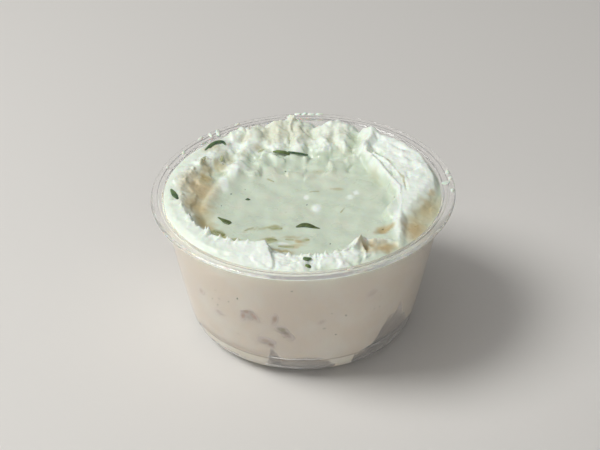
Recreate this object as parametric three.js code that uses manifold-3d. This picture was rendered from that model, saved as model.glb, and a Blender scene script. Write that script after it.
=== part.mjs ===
// A clear portion cup filled to the rim with tzatziki. The dip has a smooth spooned hollow in the
// middle, a torn ridge pushed up against the wall, and herb flakes lying on it.
// Units are millimetres. +Z is up and the cup stands on z = 0. Bearings are degrees from +X towards +Y.

import * as THREE from 'three';
import { mergeVertices } from 'three/addons/utils/BufferGeometryUtils.js';
import Module from 'manifold-3d';

const wasm = await Module();
wasm.setup();

// Cup
const rimRadius = 37;
const cupHeight = 36.6;
const rimRise = 0.85;            // the rim is out of level: higher by this at +X, lower at -X
const wallThickness = 0.5;
const wallFootRadius = 28.4;     // outside of the wall where it leaves the heel
const wallFootHeight = 6;
const wallFlare = 0.228;         // outward run per millimetre of height just above the heel
const wallStraightening = 0.00125;
const standRadius = 23.6;        // outer edge of the flat ring that the cup stands on
const standWidth = 3.2;
const baseLift = 0.8;            // how far the middle of the base is raised off the table
const lipThickness = 1;
const lipWidth = 1.5;            // rounded outer part of the rim
const rimStepWidth = 0.3;        // groove between the lip and the flat inner part of the rim
const rimStepDepth = 0.25;
const cupSegments = 66;

// Dip
const clearance = 0.3;           // gap between the dip and the cup
const hollowHeight = 33.5;       // lowest point of the spooned hollow
const hollowLift = 0.8;          // how much higher the hollow is at its edge
const hollowRadius = 22;
const dipSegments = 108;
const topRings = [
  5, 9.5, 13, 15.5, 17.5, 19.2, 20.6, 21.8, 22.8, 23.7, 24.6, 25.5, 26.4, 27.3, 28.2, 29.1, 29.9, 30.7,
  31.4, 32.1, 32.8,
];
const topReach = 33.4;           // radius that the rings above are drawn for
const wallRings = 3;
const creaseRings = 2;           // rings round the crease where the wall meets the heel
const heelRings = 4;
const wallContactFloor = 3.7;    // lowest height at which the dip touches the wall
const creaseAbove = 0.9;         // the crease rings start this far above the wall's foot
const seatedWithin = 1.5;        // a lower edge this far above the floor draws back from the heel
const undercutLean = 0.42;       // how fast the dip draws back from the wall below its lower edge
const undercutReach = 1.6;
const bottomReach = 19.2;        // radius of the dip's flat bottom, clear of the standing ring
const bottomRing = 10;

// Relief of the dip
const seed = 7;
const lumpHeight = 0.32;         // soft lumps in the hollow
const lumpSize = 4.2;
const shelfEdge = 8.5;           // behind this y the hollow is lumpier and stands higher
const shelfLift = 0.4;
const shelfLumpHeight = 0.8;
const shelfLumpSize = 3.7;
const clumpHeight = 0.75;        // torn clumps on the ridge
const clumpSize = 3.8;
const tearLength = 1.5;          // spacing of the tears along a crest
const tearFade = 0.9;            // how far a tear reaches from its crest
const crestReach = 4;            // a crest falls away quickly beyond this distance
const plateStep = 1.6;           // height steps between torn plates
const plateTilt = 0.9;
const plateSharpness = 14;
const bend = 0.9;                // the torn relief is bent sideways by this much
const bendSize = 3.6;
const fineBend = 0.35;
const fineBendSize = 1.5;
const softCorner = 0.3;          // rounding where two crests meet
const rippleGain = 1.5;          // brings the ripple noise to about -1 to 1

// The ridge round the hollow, by bearing: where the hollow ends, where the crest is, how high the
// crest is, how high the dip stands against the wall, and how much torn relief it carries.
const ridge = [
  { bearing: 0, inner: 23.5, crest: 27, top: 36, wall: 35, torn: 0.25 },
  { bearing: 12, inner: 22.5, crest: 28.5, top: 36.4, wall: 35.4, torn: 0.3 },
  { bearing: 25, inner: 22, crest: 30, top: 36.5, wall: 35.3, torn: 0.4 },
  { bearing: 38, inner: 21.5, crest: 30.5, top: 36.4, wall: 34.6, torn: 0.5 },
  { bearing: 50, inner: 20, crest: 30, top: 36, wall: 34, torn: 0.65 },
  { bearing: 62, inner: 19.5, crest: 29.5, top: 35.5, wall: 33.6, torn: 1 },
  { bearing: 73, inner: 19.5, crest: 29.4, top: 36.2, wall: 33.6, torn: 1 },
  { bearing: 86, inner: 19.5, crest: 29.4, top: 36, wall: 33.8, torn: 1 },
  { bearing: 97, inner: 19.5, crest: 30, top: 36.8, wall: 34.2, torn: 1 },
  { bearing: 106, inner: 19.5, crest: 29.6, top: 36.3, wall: 34.3, torn: 1 },
  { bearing: 117, inner: 20, crest: 30.2, top: 36.7, wall: 34.7, torn: 0.8 },
  { bearing: 128, inner: 20.5, crest: 30.8, top: 36.8, wall: 35.5, torn: 0.8 },
  { bearing: 140, inner: 21.5, crest: 30.6, top: 36.9, wall: 35.9, torn: 0.7 },
  { bearing: 152, inner: 22, crest: 30, top: 37, wall: 36.1, torn: 0.5 },
  { bearing: 165, inner: 22, crest: 29.8, top: 37.2, wall: 36.3, torn: 0.35 },
  { bearing: 180, inner: 22, crest: 29.8, top: 37.4, wall: 36.4, torn: 0.3 },
  { bearing: 195, inner: 24.5, crest: 29.7, top: 37.5, wall: 36.3, torn: 0.25 },
  { bearing: 208, inner: 26.8, crest: 29.8, top: 37.4, wall: 36.2, torn: 0.2 },
  { bearing: 220, inner: 26.2, crest: 29, top: 37.3, wall: 36.1, torn: 0.2 },
  { bearing: 230, inner: 25, crest: 27.8, top: 37.2, wall: 36, torn: 0.2 },
  { bearing: 240, inner: 23.6, crest: 26.2, top: 37, wall: 35.8, torn: 0.25 },
  { bearing: 249, inner: 22.4, crest: 25, top: 36.8, wall: 35.7, torn: 0.35 },
  { bearing: 254, inner: 23, crest: 26.6, top: 36.4, wall: 35.6, torn: 0.6 },
  { bearing: 260, inner: 25, crest: 28, top: 36.2, wall: 35.5, torn: 0.8 },
  { bearing: 270, inner: 25.5, crest: 28.2, top: 36.2, wall: 35.5, torn: 0.9 },
  { bearing: 282, inner: 25, crest: 28.2, top: 36.1, wall: 35.4, torn: 0.9 },
  { bearing: 292, inner: 23.5, crest: 27.4, top: 36.1, wall: 35.2, torn: 0.8 },
  { bearing: 302, inner: 22.5, crest: 26, top: 35.6, wall: 35, torn: 0.5 },
  { bearing: 312, inner: 22.5, crest: 27.5, top: 35.3, wall: 34.8, torn: 0.25 },
  { bearing: 322, inner: 23, crest: 28, top: 35.4, wall: 34.6, torn: 0.12 },
  { bearing: 335, inner: 23.5, crest: 27, top: 35.2, wall: 34.6, torn: 0.1 },
  { bearing: 348, inner: 23.5, crest: 26, top: 35.5, wall: 34.7, torn: 0.15 },
];

// Crest lines of the torn dip. A crest falls away by its left and right slopes, as seen along the
// way that it runs, is rounded by its half thickness, and follows points of x, y and height.
const crests = [
  // torn masses at the back, left to right, each with its lobes towards the hollow
  {
    left: 1,
    right: 1.1,
    thick: 1.2,
    ragged: 0.15,
    path: [[-17.6, 25.6, 37.8], [-15, 27.4, 38.1], [-11.4, 28.2, 38.1], [-8.8, 28.4, 37.3]],
  },
  {
    left: 0.8,
    right: 0.7,
    thick: 1.3,
    ragged: 0.12,
    path: [
      [-12.6, 26.8, 38], [-13.6, 23.5, 36.9], [-15.4, 19, 35.9], [-16.1, 14.4, 35.3],
      [-17, 9.6, 34.8], [-18, 4.6, 34.2],
    ],
  },
  {
    left: 1,
    right: 1,
    thick: 2.2,
    ragged: 0.15,
    path: [[-6.6, 29.3, 38], [-4.2, 30.2, 38.4], [-1.6, 30, 38.2], [0.6, 29.6, 37.3]],
  },
  {
    left: 1,
    right: 1,
    thick: 1.8,
    ragged: 0.12,
    path: [[-5.4, 29, 38], [-5.6, 25.2, 37.2], [-6.2, 22.4, 36]],
  },
  {
    left: 1,
    right: 1.1,
    thick: 1.4,
    ragged: 0.12,
    path: [[-1.2, 29, 37.8], [-1, 25.4, 37], [-1, 22, 35.9]],
  },
  {
    left: 1.7,
    right: 1.7,
    thick: 0.3,
    ragged: 0.1,
    path: [[-2.8, 31.6, 39.8], [-3, 29.8, 38.8], [-3.2, 27, 37.6]],
  },
  {
    left: 1,
    right: 1,
    thick: 1.8,
    ragged: 0.15,
    path: [[5.2, 28.6, 37.4], [8.6, 29.6, 38.4], [10.4, 28.6, 37.8]],
  },
  {
    left: 1,
    right: 1,
    thick: 1.8,
    ragged: 0.12,
    path: [[6.6, 28, 37.5], [5.9, 23.6, 37], [5.2, 20.8, 35.8]],
  },
  {
    left: 1,
    right: 1,
    thick: 1.2,
    ragged: 0.12,
    path: [[9.6, 27.6, 37.8], [10.4, 23.8, 36.8], [10.8, 20.6, 35.8]],
  },
  // the long ribbon down the right side: two strands at the back, one thin one from the middle
  {
    left: 1.1,
    right: 1.3,
    thick: 0.7,
    ragged: 0.25,
    path: [[17.4, 25.6, 38.6], [16.2, 21.8, 37.5], [15.4, 18.4, 36.8]],
  },
  {
    left: 1.4,
    right: 1.8,
    thick: 0.5,
    ragged: 0.3,
    path: [
      [16.4, 20, 37.1], [16.2, 17, 37], [17.6, 14, 36.8], [20.3, 8.8, 36.6], [22.3, 4.5, 36.4],
      [23.6, 1.4, 36.4],
    ],
  },
  {
    left: 1,
    right: 1.6,
    thick: 0.4,
    ragged: 0.3,
    path: [
      [18.4, 17.2, 36.6], [20.3, 13.7, 36.7], [22.4, 10.1, 36.6], [24.4, 4.3, 36.5],
      [24.9, 0.4, 36.2],
    ],
  },
  {
    left: 1.3,
    right: 2,
    thick: 0.35,
    ragged: 0.12,
    path: [[23.6, 1.6, 36.4], [23.8, -4.5, 36.4], [23.3, -9, 36.4]],
  },
  {
    left: 1.3,
    right: 0.7,
    thick: 0.35,
    ragged: 0.12,
    path: [[23.3, -8.8, 36.4], [22.9, -15.3, 36.4], [22.6, -21.4, 36]],
  },
  // the white mass outside it
  {
    left: 1,
    right: 1,
    thick: 0.9,
    ragged: 0.2,
    path: [[17.8, 25, 37.8], [20.2, 24, 37.5], [23, 21.4, 37.2]],
  },
  {
    left: 0.02,
    right: 0.15,
    thick: 0.5,
    ragged: 0.12,
    path: [
      [20.8, 19, 36.6], [23.4, 13.6, 36.6], [25.6, 8.5, 36.7], [26.6, 2.5, 36.6], [26.2, -3, 36.5],
      [24.9, -8.2, 36.3],
    ],
  },
  {
    left: 0.7,
    right: 0.12,
    thick: 0.5,
    ragged: 0.12,
    path: [[31.6, 3.8, 36.9], [28.6, -0.7, 36.8], [26, -5.8, 36.6], [24.6, -8.4, 36.4]],
  },
  {
    left: 0.8,
    right: 0.2,
    thick: 0.7,
    ragged: 0.15,
    path: [[23.5, 21.2, 37.2], [28.2, 16.6, 37.5], [30.2, 9.9, 37.2], [31.8, 5, 37]],
  },
  // the spike at the front and the rim beside it
  {
    left: 1.9,
    right: 1.6,
    thick: 0.15,
    ragged: 0.4,
    path: [[13.7, -22.3, 38.5], [11.8, -24.4, 37.3], [9.6, -26.8, 36.7], [7.2, -29.5, 36]],
  },
  {
    left: 2,
    right: 1.2,
    thick: 0.15,
    ragged: 0.4,
    path: [[13.7, -22.3, 38.5], [14.2, -24.6, 36.8], [14.4, -28.4, 35.6]],
  },
  {
    left: 1.2,
    right: 1,
    thick: 0.3,
    ragged: 0.35,
    path: [[14.6, -21.2, 36.3], [17, -21.3, 36.4], [19.4, -20.8, 35.8], [22.4, -21.5, 35.8]],
  },
  // torn edge of the low front rim
  {
    left: 1.2,
    right: 0.15,
    thick: 0.2,
    ragged: 0.9,
    path: [
      [-7.4, -25.6, 35.9], [-4, -26.8, 36.2], [0, -27.3, 36.1], [3.8, -27, 36.2], [7, -26.2, 36.3],
      [9.4, -25.6, 36.6],
    ],
  },
  // ragged inner edge of the front left ridge, ending in a steep block
  {
    left: 1.8,
    right: 0.12,
    thick: 0.2,
    ragged: 1.7,
    path: [
      [-22.4, 17.5, 37], [-26.2, 11.2, 37.2], [-28.6, 6, 37.3], [-29.3, 1.2, 37.5],
      [-29.6, -3.5, 37.6], [-29, -7.6, 37.6], [-27.7, -11.2, 37.6], [-26.1, -14.2, 37.6],
      [-24.2, -17.2, 37.5], [-21.3, -19.6, 37.5], [-17.7, -21.6, 37.3], [-14.5, -22.3, 37.4],
      [-11.5, -23, 37.2],
    ],
  },
  {
    left: 3,
    right: 0.15,
    thick: 0.15,
    ragged: 0.3,
    path: [
      [-14, -22.6, 37.2], [-11.6, -23, 37.3], [-9, -22.8, 37.9], [-8.1, -25, 37.6],
      [-7.4, -27.9, 37.1], [-7.1, -31, 36.2],
    ],
  },
  // torn fold on the left behind the leaf
  {
    left: 0.7,
    right: 0.8,
    thick: 1,
    ragged: 0.35,
    path: [[-20.6, 22.4, 37.4], [-22.4, 18.4, 37.2], [-24.9, 14, 37.1], [-27.7, 8.6, 37.2]],
  },
  // soft fold on the left inner slope
  {
    left: 0.35,
    right: 0.5,
    thick: 0.8,
    ragged: 0.08,
    path: [
      [-15.8, 15.5, 35.2], [-18.4, 9.6, 35.1], [-21, 3.9, 35.2], [-23, -1.5, 35.3],
      [-23.8, -6, 35.2],
    ],
  },
];

// Mounds and dents: a middle, a rise, half the length and width, and the bearing of the length
const mounds = [
  { x: 3.2, y: -3.6, rise: 0.3, halfLength: 2.4, halfWidth: 1.8, bearing: 100 },
  { x: -3.6, y: -12.2, rise: 0.25, halfLength: 2.6, halfWidth: 1.4, bearing: 10 },
  { x: 2.6, y: 22.2, rise: 0.7, halfLength: 2.2, halfWidth: 1.8, bearing: 80 },
  { x: 15.2, y: 19.8, rise: 0.7, halfLength: 3, halfWidth: 2, bearing: 100 },
  { x: 14.3, y: -23.9, rise: -0.8, halfLength: 2.4, halfWidth: 1.5, bearing: 100 },
  { x: 18.7, y: -15.3, rise: -0.7, halfLength: 2.6, halfWidth: 2, bearing: 40 },
  { x: -3.2, y: 24.6, rise: -0.7, halfLength: 3.4, halfWidth: 0.8, bearing: 90 },
  { x: 15.6, y: 13, rise: -0.6, halfLength: 4.8, halfWidth: 2.4, bearing: 117 },
  { x: 18.6, y: 6.4, rise: -0.6, halfLength: 5, halfWidth: 2.4, bearing: 112 },
  { x: 21, y: -1.6, rise: -0.5, halfLength: 4.6, halfWidth: 2, bearing: 96 },
  { x: 22.4, y: 7.6, rise: -0.9, halfLength: 1.5, halfWidth: 0.7, bearing: 116 },
  { x: 18.9, y: 17.6, rise: -0.8, halfLength: 3, halfWidth: 1.3, bearing: 118 },
  { x: 25.1, y: 1.4, rise: -0.6, halfLength: 2.8, halfWidth: 0.6, bearing: 95 },
  { x: 25.8, y: 5.8, rise: -0.25, halfLength: 3, halfWidth: 0.7, bearing: 96 },
  { x: 24.2, y: 18.2, rise: -0.5, halfLength: 3.6, halfWidth: 1, bearing: 135 },
  { x: 25.6, y: 12.2, rise: 0.5, halfLength: 2.2, halfWidth: 1.3, bearing: 130 },
  { x: 28.6, y: 4.6, rise: 0.35, halfLength: 2.4, halfWidth: 1.2, bearing: 60 },
  { x: 29.6, y: 14.4, rise: 0.4, halfLength: 1.9, halfWidth: 1.3, bearing: 120 },
  { x: 27.4, y: 8.4, rise: -0.45, halfLength: 2.4, halfWidth: 0.9, bearing: 20 },
  { x: 28.4, y: 10.6, rise: 0.4, halfLength: 3.4, halfWidth: 2, bearing: 120 },
  { x: 25, y: 15, rise: 0.45, halfLength: 3, halfWidth: 1.8, bearing: 130 },
  { x: -10.3, y: 15.2, rise: 0.5, halfLength: 2, halfWidth: 1.6, bearing: 10 },
  { x: -3, y: 14.4, rise: 0.45, halfLength: 2.6, halfWidth: 1.2, bearing: 20 },
  { x: 6.8, y: 11.9, rise: 0.4, halfLength: 2.2, halfWidth: 1.6, bearing: 170 },
  { x: 9.3, y: 17, rise: 0.5, halfLength: 2.8, halfWidth: 1.6, bearing: 0 },
  { x: 12.6, y: 11, rise: 0.45, halfLength: 2.6, halfWidth: 1.5, bearing: 160 },
  { x: -11.7, y: 10.6, rise: 0.4, halfLength: 2.4, halfWidth: 1.5, bearing: 30 },
];

// The lower edge of the dip where it touches the wall, by bearing: lobes that fill the heel, a
// notch, an unfilled heel at the front and a tall air pocket at the front right.
const lowerEdge = [
  { bearing: 0, height: 5 },
  { bearing: 22, height: 3.7 },
  { bearing: 198, height: 3.7 },
  { bearing: 206, height: 5.8 },
  { bearing: 211, height: 4.3 },
  { bearing: 235, height: 4.3 },
  { bearing: 237, height: 3.7 },
  { bearing: 250, height: 3.7 },
  { bearing: 252, height: 5 },
  { bearing: 255, height: 10.6 },
  { bearing: 257.5, height: 8.8 },
  { bearing: 259, height: 6.8 },
  { bearing: 263, height: 6.8 },
  { bearing: 270, height: 7.6 },
  { bearing: 276, height: 7.2 },
  { bearing: 281, height: 6.4 },
  { bearing: 286, height: 4.4 },
  { bearing: 288, height: 3.7 },
  { bearing: 295, height: 3.7 },
  { bearing: 297, height: 5.9 },
  { bearing: 300, height: 6.6 },
  { bearing: 305, height: 7.3 },
  { bearing: 308, height: 9.6 },
  { bearing: 311, height: 13 },
  { bearing: 314, height: 15.3 },
  { bearing: 318, height: 15.2 },
  { bearing: 320, height: 17.8 },
  { bearing: 325, height: 12.5 },
  { bearing: 334, height: 8 },
  { bearing: 347, height: 6 },
];

// Herb flakes lying on the dip, each by its centre line: x, y, lift over the dip and half width
const flakes = [
  [[-7.6, 19.8, 0.1, 0.2], [-6.2, 20, 0.3, 0.75], [-4.6, 19.8, 0.3, 0.8], [-3.3, 19.2, 0.1, 0.4]],
  [[-3.8, 19.3, 0.15, 0.3], [-2.2, 19.2, 0.2, 0.45], [-0.4, 19.1, 0.2, 0.42], [1.3, 18.9, 0.1, 0.2]],
  [
    [-24.7, 19, -0.1, 0.2], [-23.4, 20.6, 0.25, 0.65], [-21.6, 21.9, 0.45, 0.8],
    [-20.2, 21.9, 0.25, 0.65], [-19.6, 21, -0.2, 0.3],
  ],
  [[-32.1, 0.8, 0, 0.2], [-31.5, -1.2, 0.2, 0.65], [-30.9, -2.8, 0.2, 0.75], [-30.1, -4.5, 0, 0.2]],
  [
    [-20.6, -7.8, -0.15, 0.2], [-19.5, -8.9, 0.05, 0.35], [-18.3, -10, 0.25, 0.85],
    [-17.4, -10.9, 0.15, 0.6],
  ],
  [
    [-1.8, -12.1, -0.1, 0.15], [-0.4, -11.4, 0.25, 0.75], [1.1, -11.5, 0.35, 0.85],
    [2.5, -12.4, 0.15, 0.6], [4.1, -12.9, -0.1, 0.15],
  ],
  [[0, -28.6, 0, 0.45], [0.9, -28.9, 0.2, 0.8], [1.9, -28.6, 0.1, 0.35]],
  [[0.5, -30.9, -0.05, 0.4], [1.2, -31, 0.1, 0.7], [1.8, -31.2, -0.05, 0.3]],
  [[-14, 0.2, -0.05, 0.15], [-13.5, 0.4, 0.12, 0.5], [-12.9, 0.3, -0.05, 0.15]],
];
const flakeDepth = 0.8;          // how far a flake's underside is sunk in the dip
const flakeProud = 0.3;          // how far the top of a flake stands over the dip
const flakeSteps = 6;

const fullTurn = 2 * Math.PI;

function toRadians(degrees) {
  return degrees * Math.PI / 180;
}

function clamp01(value) {
  return Math.min(1, Math.max(0, value));
}

function smooth(value) {
  const t = clamp01(value);
  return t * t * (3 - 2 * t);
}

function mix(a, b, t) {
  return a + (b - a) * t;
}

// Value of one field of a table at a bearing, eased between the rows on either side
function atBearing(rows, field, bearing) {
  const wrapped = ((bearing % 360) + 360) % 360;
  let index = rows.length - 1;
  while (index > 0 && rows[index].bearing > wrapped) {
    index -= 1;
  }
  const here = rows[index];
  const next = rows[(index + 1) % rows.length];
  const span = ((next.bearing - here.bearing + 360) % 360) || 360;
  const t = (wrapped - here.bearing) / span;
  return mix(here[field], next[field], smooth(t));
}

// A repeatable value between 0 and 1 at each lattice point
function latticeValue(column, row, layer) {
  const wave = Math.sin(column * 127.1 + row * 311.7 + (layer + seed) * 74.7) * 43758.5453;
  return wave - Math.floor(wave);
}

// Smooth gradient noise over a plane
function ripple(u, v, layer) {
  const column = Math.floor(u);
  const row = Math.floor(v);
  let total = 0;
  for (const i of [0, 1]) {
    for (const j of [0, 1]) {
      const turn = fullTurn * latticeValue(column + i, row + j, layer);
      const slope = (u - column - i) * Math.cos(turn) + (v - row - j) * Math.sin(turn);
      total += slope * smooth(1 - Math.abs(u - column - i)) * smooth(1 - Math.abs(v - row - j));
    }
  }
  return rippleGain * total;
}

// Small tilted plates with soft steps between them, as thick dip tears
function plates(u, v, layer) {
  const column = Math.floor(u);
  const row = Math.floor(v);
  let total = 0;
  let weights = 0;
  for (const i of [-1, 0, 1]) {
    for (const j of [-1, 0, 1]) {
      const a = column + i;
      const b = row + j;
      const du = u - a - 0.15 - 0.7 * latticeValue(a, b, layer);
      const dv = v - b - 0.15 - 0.7 * latticeValue(a, b, layer + 1);
      const turn = fullTurn * latticeValue(a, b, layer + 2);
      const step = plateStep * (latticeValue(a, b, layer + 3) - 0.5);
      const weight = Math.exp(-plateSharpness * (du * du + dv * dv));
      total += weight * (step + plateTilt * (du * Math.cos(turn) + dv * Math.sin(turn)));
      weights += weight;
    }
  }
  return total / weights;
}

function wallRadius(height) {
  const above = height - wallFootHeight;
  return wallFootRadius + wallFlare * above - wallStraightening * above * above;
}

// Every height above the table leans with the rim, which is out of level
function leanWithRim(geometry) {
  const position = geometry.getAttribute('position');
  for (let i = 0; i < position.count; i += 1) {
    const tilt = rimRise * (position.getX(i) / rimRadius) * (position.getZ(i) / cupHeight);
    position.setZ(i, position.getZ(i) + tilt);
  }
  return geometry;
}

// Points from the outer edge of the standing ring up the sloped heel to the wall, outside
function heelProfile() {
  return [
    [standRadius, 0],
    [24.3, 0.25],
    [25.2, 1],
    [26.5, 2.05],
    [27.3, 2.85],
    [27.75, 3.7],
    [27.95, 4.8],
    [28.05, 5.75],
    [wallFootRadius, wallFootHeight],
  ];
}

// The same heel moved inwards by a distance, from the wall down
function heelInside(distance) {
  const outer = heelProfile();
  const inside = [];
  for (let i = 1; i < outer.length; i += 1) {
    const before = outer[i - 1];
    const after = outer[Math.min(i + 1, outer.length - 1)];
    const run = after[0] - before[0];
    const rise = after[1] - before[1];
    const length = Math.hypot(run, rise);
    inside.push([outer[i][0] - distance * rise / length, outer[i][1] + distance * run / length]);
  }
  return inside.reverse();
}

function cupProfile() {
  const rimTop = cupHeight;
  const lipInner = rimRadius - lipWidth;
  const flatInner = wallRadius(cupHeight) + 0.1;
  const standInner = standRadius - standWidth;
  const wallHeights = [11, 17, 23, 29, 34.6];
  const profile = [
    [0, baseLift],
    [standInner - 1, baseLift],
    [standInner, 0],
    ...heelProfile(),
  ];
  for (const height of wallHeights) {
    profile.push([wallRadius(height), height]);
  }
  profile.push(
    [wallRadius(rimTop) + 0.3, rimTop - lipThickness],
    [rimRadius - 0.7, rimTop - lipThickness],
    [rimRadius - 0.2, rimTop - lipThickness + 0.15],
    [rimRadius, rimTop - 0.5],
    [rimRadius - 0.2, rimTop - 0.15],
    [rimRadius - 0.6, rimTop],
    [lipInner, rimTop],
    [lipInner - 0.1, rimTop - rimStepDepth],
    [lipInner - 0.1 - rimStepWidth, rimTop - rimStepDepth],
    [lipInner - 0.2 - rimStepWidth, rimTop - 0.05],
    [flatInner, rimTop - 0.05],
    [flatInner - 0.35, rimTop - 0.3],
  );
  for (const height of [...wallHeights].reverse()) {
    profile.push([wallRadius(height) - wallThickness, height]);
  }
  profile.push(...heelInside(wallThickness));
  profile.push(
    [standInner + 0.3, wallThickness],
    [standInner - 0.7, baseLift + wallThickness],
    [0, baseLift + wallThickness],
  );
  return profile;
}

function makeCup() {
  const points = cupProfile().map(([radius, height]) => new THREE.Vector2(radius, height));
  const geometry = new THREE.LatheGeometry(points, cupSegments);
  geometry.rotateX(Math.PI / 2);
  return leanWithRim(tidyMesh(geometry));
}

// Radius of the dip's side at a height, just inside the wall
function sideRadius(height) {
  return wallRadius(height) - wallThickness - clearance;
}

// The greater of two heights, with a soft corner where they meet
function softMax(a, b) {
  const gap = clamp01(0.5 + 0.5 * (a - b) / softCorner);
  return mix(b, a, gap) + softCorner * gap * (1 - gap);
}

// The point of a crest line that is nearest to x, y
function nearestOnCrest(x, y, path) {
  let nearest = { distance: Infinity };
  let walked = 0;
  for (let i = 0; i + 1 < path.length; i += 1) {
    const [ax, ay, az] = path[i];
    const [bx, by, bz] = path[i + 1];
    const run = bx - ax;
    const climb = by - ay;
    const length = Math.hypot(run, climb);
    const t = clamp01(((x - ax) * run + (y - ay) * climb) / (length * length));
    const distance = Math.hypot(x - ax - t * run, y - ay - t * climb);
    if (distance < nearest.distance) {
      const side = ((y - ay) * run - (x - ax) * climb) / length;
      nearest = { distance, side, along: walked + t * length, height: mix(az, bz, t) };
    }
    walked += length;
  }
  return nearest;
}

// Height of one crest at x, y. The number sets its pattern of tears.
function crestHeight(x, y, crest, number) {
  const { distance, side, along, height } = nearestOnCrest(x, y, crest.path);
  const place = along / tearLength;
  const pattern = number * 3.7;
  const coarse = 0.9 - 1.9 * Math.sqrt(Math.abs(ripple(place, pattern, 8)));
  const fine = 0.5 * ripple(2.3 * place, pattern, 9);
  const tears = (coarse + fine) * (0.6 + 1.6 * Math.abs(ripple(0.27 * place, pattern, 10)));
  // beyond the ends of the line the two slopes blend
  const slope = mix(crest.right, crest.left, smooth(0.5 + 0.5 * side / Math.max(distance, 1e-6)));
  const fallen = slope * (Math.hypot(distance, crest.thick) - crest.thick);
  const cutOff = 3 * smooth((distance - crestReach) / 3);
  return height + crest.ragged * tears * Math.exp(-distance / tearFade) - fallen - cutOff;
}

function moundRise(x, y) {
  let total = 0;
  for (const mound of mounds) {
    const turn = toRadians(mound.bearing);
    const dx = x - mound.x;
    const dy = y - mound.y;
    const along = (dx * Math.cos(turn) + dy * Math.sin(turn)) / mound.halfLength;
    const across = (dy * Math.cos(turn) - dx * Math.sin(turn)) / mound.halfWidth;
    total += mound.rise * smooth(1 - Math.hypot(along, across));
  }
  return total;
}

// Soft lumps of the hollow, coarser on the shelf at its back
function lumpRise(x, y) {
  const soft = ripple(x / lumpSize, y / lumpSize, 1) + 0.5 * ripple(x / 1.9, y / 1.9, 4);
  const shelf = smooth((y - shelfEdge + 1.6 * ripple(x / 4, y / 4, 31)) / 3.5);
  const bentX = x + 1.1 * ripple(x / 2.9, y / 2.9, 35);
  const bentY = y + 1.1 * ripple(x / 2.9, y / 2.9, 36);
  const coarse = plates(bentX / shelfLumpSize, bentY / shelfLumpSize, 33);
  const fine = 0.12 * ripple(x / 1.8, y / 1.8, 34);
  return lumpHeight * soft + shelf * (shelfLift + fine + shelfLumpHeight * coarse);
}

// How far the torn relief is moved sideways at x, y
function bendAt(x, y, layer) {
  const coarse = ripple(x / bendSize, y / bendSize, layer);
  const fine = ripple(x / fineBendSize, y / fineBendSize, layer + 2);
  return bend * coarse + fineBend * fine;
}

// Height of the dip's top surface before it leans with the rim
function topHeight(x, y) {
  const radius = Math.hypot(x, y);
  const bearing = Math.atan2(y, x) * 180 / Math.PI;
  const inner = atBearing(ridge, 'inner', bearing);
  const crest = atBearing(ridge, 'crest', bearing);
  const top = atBearing(ridge, 'top', bearing);
  const wall = atBearing(ridge, 'wall', bearing);
  const edge = sideRadius(wall);
  const onRidge = smooth((radius - inner) / 4);
  const holdBack = smooth((edge - radius) / 1.6);
  const hollow = hollowHeight + hollowLift * Math.min(1, radius / hollowRadius) ** 2;
  const climb = clamp01((radius - inner + 1) / (crest - inner + 1)) ** 1.5;
  const fall = clamp01((radius - crest) / (edge - crest)) ** 1.6;
  const base = radius < crest ? mix(hollow, top, climb) : mix(top, wall, fall);
  const share = atBearing(ridge, 'torn', bearing);
  const bentX = x + bendAt(x, y, 21) * onRidge * (0.35 + 0.65 * share);
  const bentY = y + bendAt(x, y, 22) * onRidge * (0.35 + 0.65 * share);
  const torn = clumpHeight * share * plates(bentX / clumpSize, bentY / clumpSize, 60) * onRidge;
  let height = base + 0.6 * torn;
  crests.forEach((line, number) => {
    height = softMax(height, crestHeight(bentX, bentY, line, number));
  });
  height = mix(base, height + 0.4 * torn, holdBack);
  return height + lumpRise(x, y) * (1 - onRidge) + moundRise(x, y) * holdBack;
}

// One line of points down the dip's side and under it, at a bearing, as radius and height
function undersideLine(bearing) {
  const wall = atBearing(ridge, 'wall', bearing);
  const low = atBearing(lowerEdge, 'height', bearing);
  const line = [];
  const turning = Math.max(low + creaseAbove / 2, wallFootHeight + creaseAbove);
  for (let i = 0; i <= wallRings; i += 1) {
    const height = mix(wall, turning, i / wallRings);
    line.push([sideRadius(height), height]);
  }
  for (let i = 1; i <= creaseRings; i += 1) {
    const height = mix(turning, low, i / creaseRings);
    const overHeel = Math.max(height, wallFootHeight);
    line.push([Math.min(sideRadius(overHeel), heelLimit(height)), height]);
  }
  const heel = heelInside(wallThickness + clearance).filter((point) => point[1] < wallContactFloor);
  const seated = clamp01((low - wallContactFloor) / seatedWithin);
  const baseTop = baseLift + wallThickness + clearance;
  const start = line[line.length - 1];
  for (let i = 1; i <= heelRings; i += 1) {
    const t = i / heelRings;
    const place = t * (heel.length - 1);
    const index = Math.min(Math.floor(place), heel.length - 2);
    const follow = [
      mix(heel[index][0], heel[index + 1][0], place - index),
      mix(heel[index][1], heel[index + 1][1], place - index),
    ];
    const drawnBack = [
      start[0] - (low - baseTop) * undercutLean * t - undercutReach * t ** 3,
      mix(low, baseTop, t),
    ];
    line.push([mix(follow[0], drawnBack[0], seated), mix(follow[1], drawnBack[1], seated)]);
  }
  const last = line[line.length - 1];
  line.push([Math.min(last[0] - 0.6, bottomReach), baseTop]);
  line.push([bottomRing, baseTop]);
  return line;
}

// Greatest radius that the dip may have at a height near the heel
function heelLimit(height) {
  const heel = heelInside(wallThickness + clearance);
  for (let i = 0; i + 1 < heel.length; i += 1) {
    const [upperRadius, upperHeight] = heel[i];
    const [lowerRadius, lowerHeight] = heel[i + 1];
    if (height <= upperHeight && height >= lowerHeight) {
      return mix(lowerRadius, upperRadius, (height - lowerHeight) / (upperHeight - lowerHeight));
    }
  }
  return Infinity;
}

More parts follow.
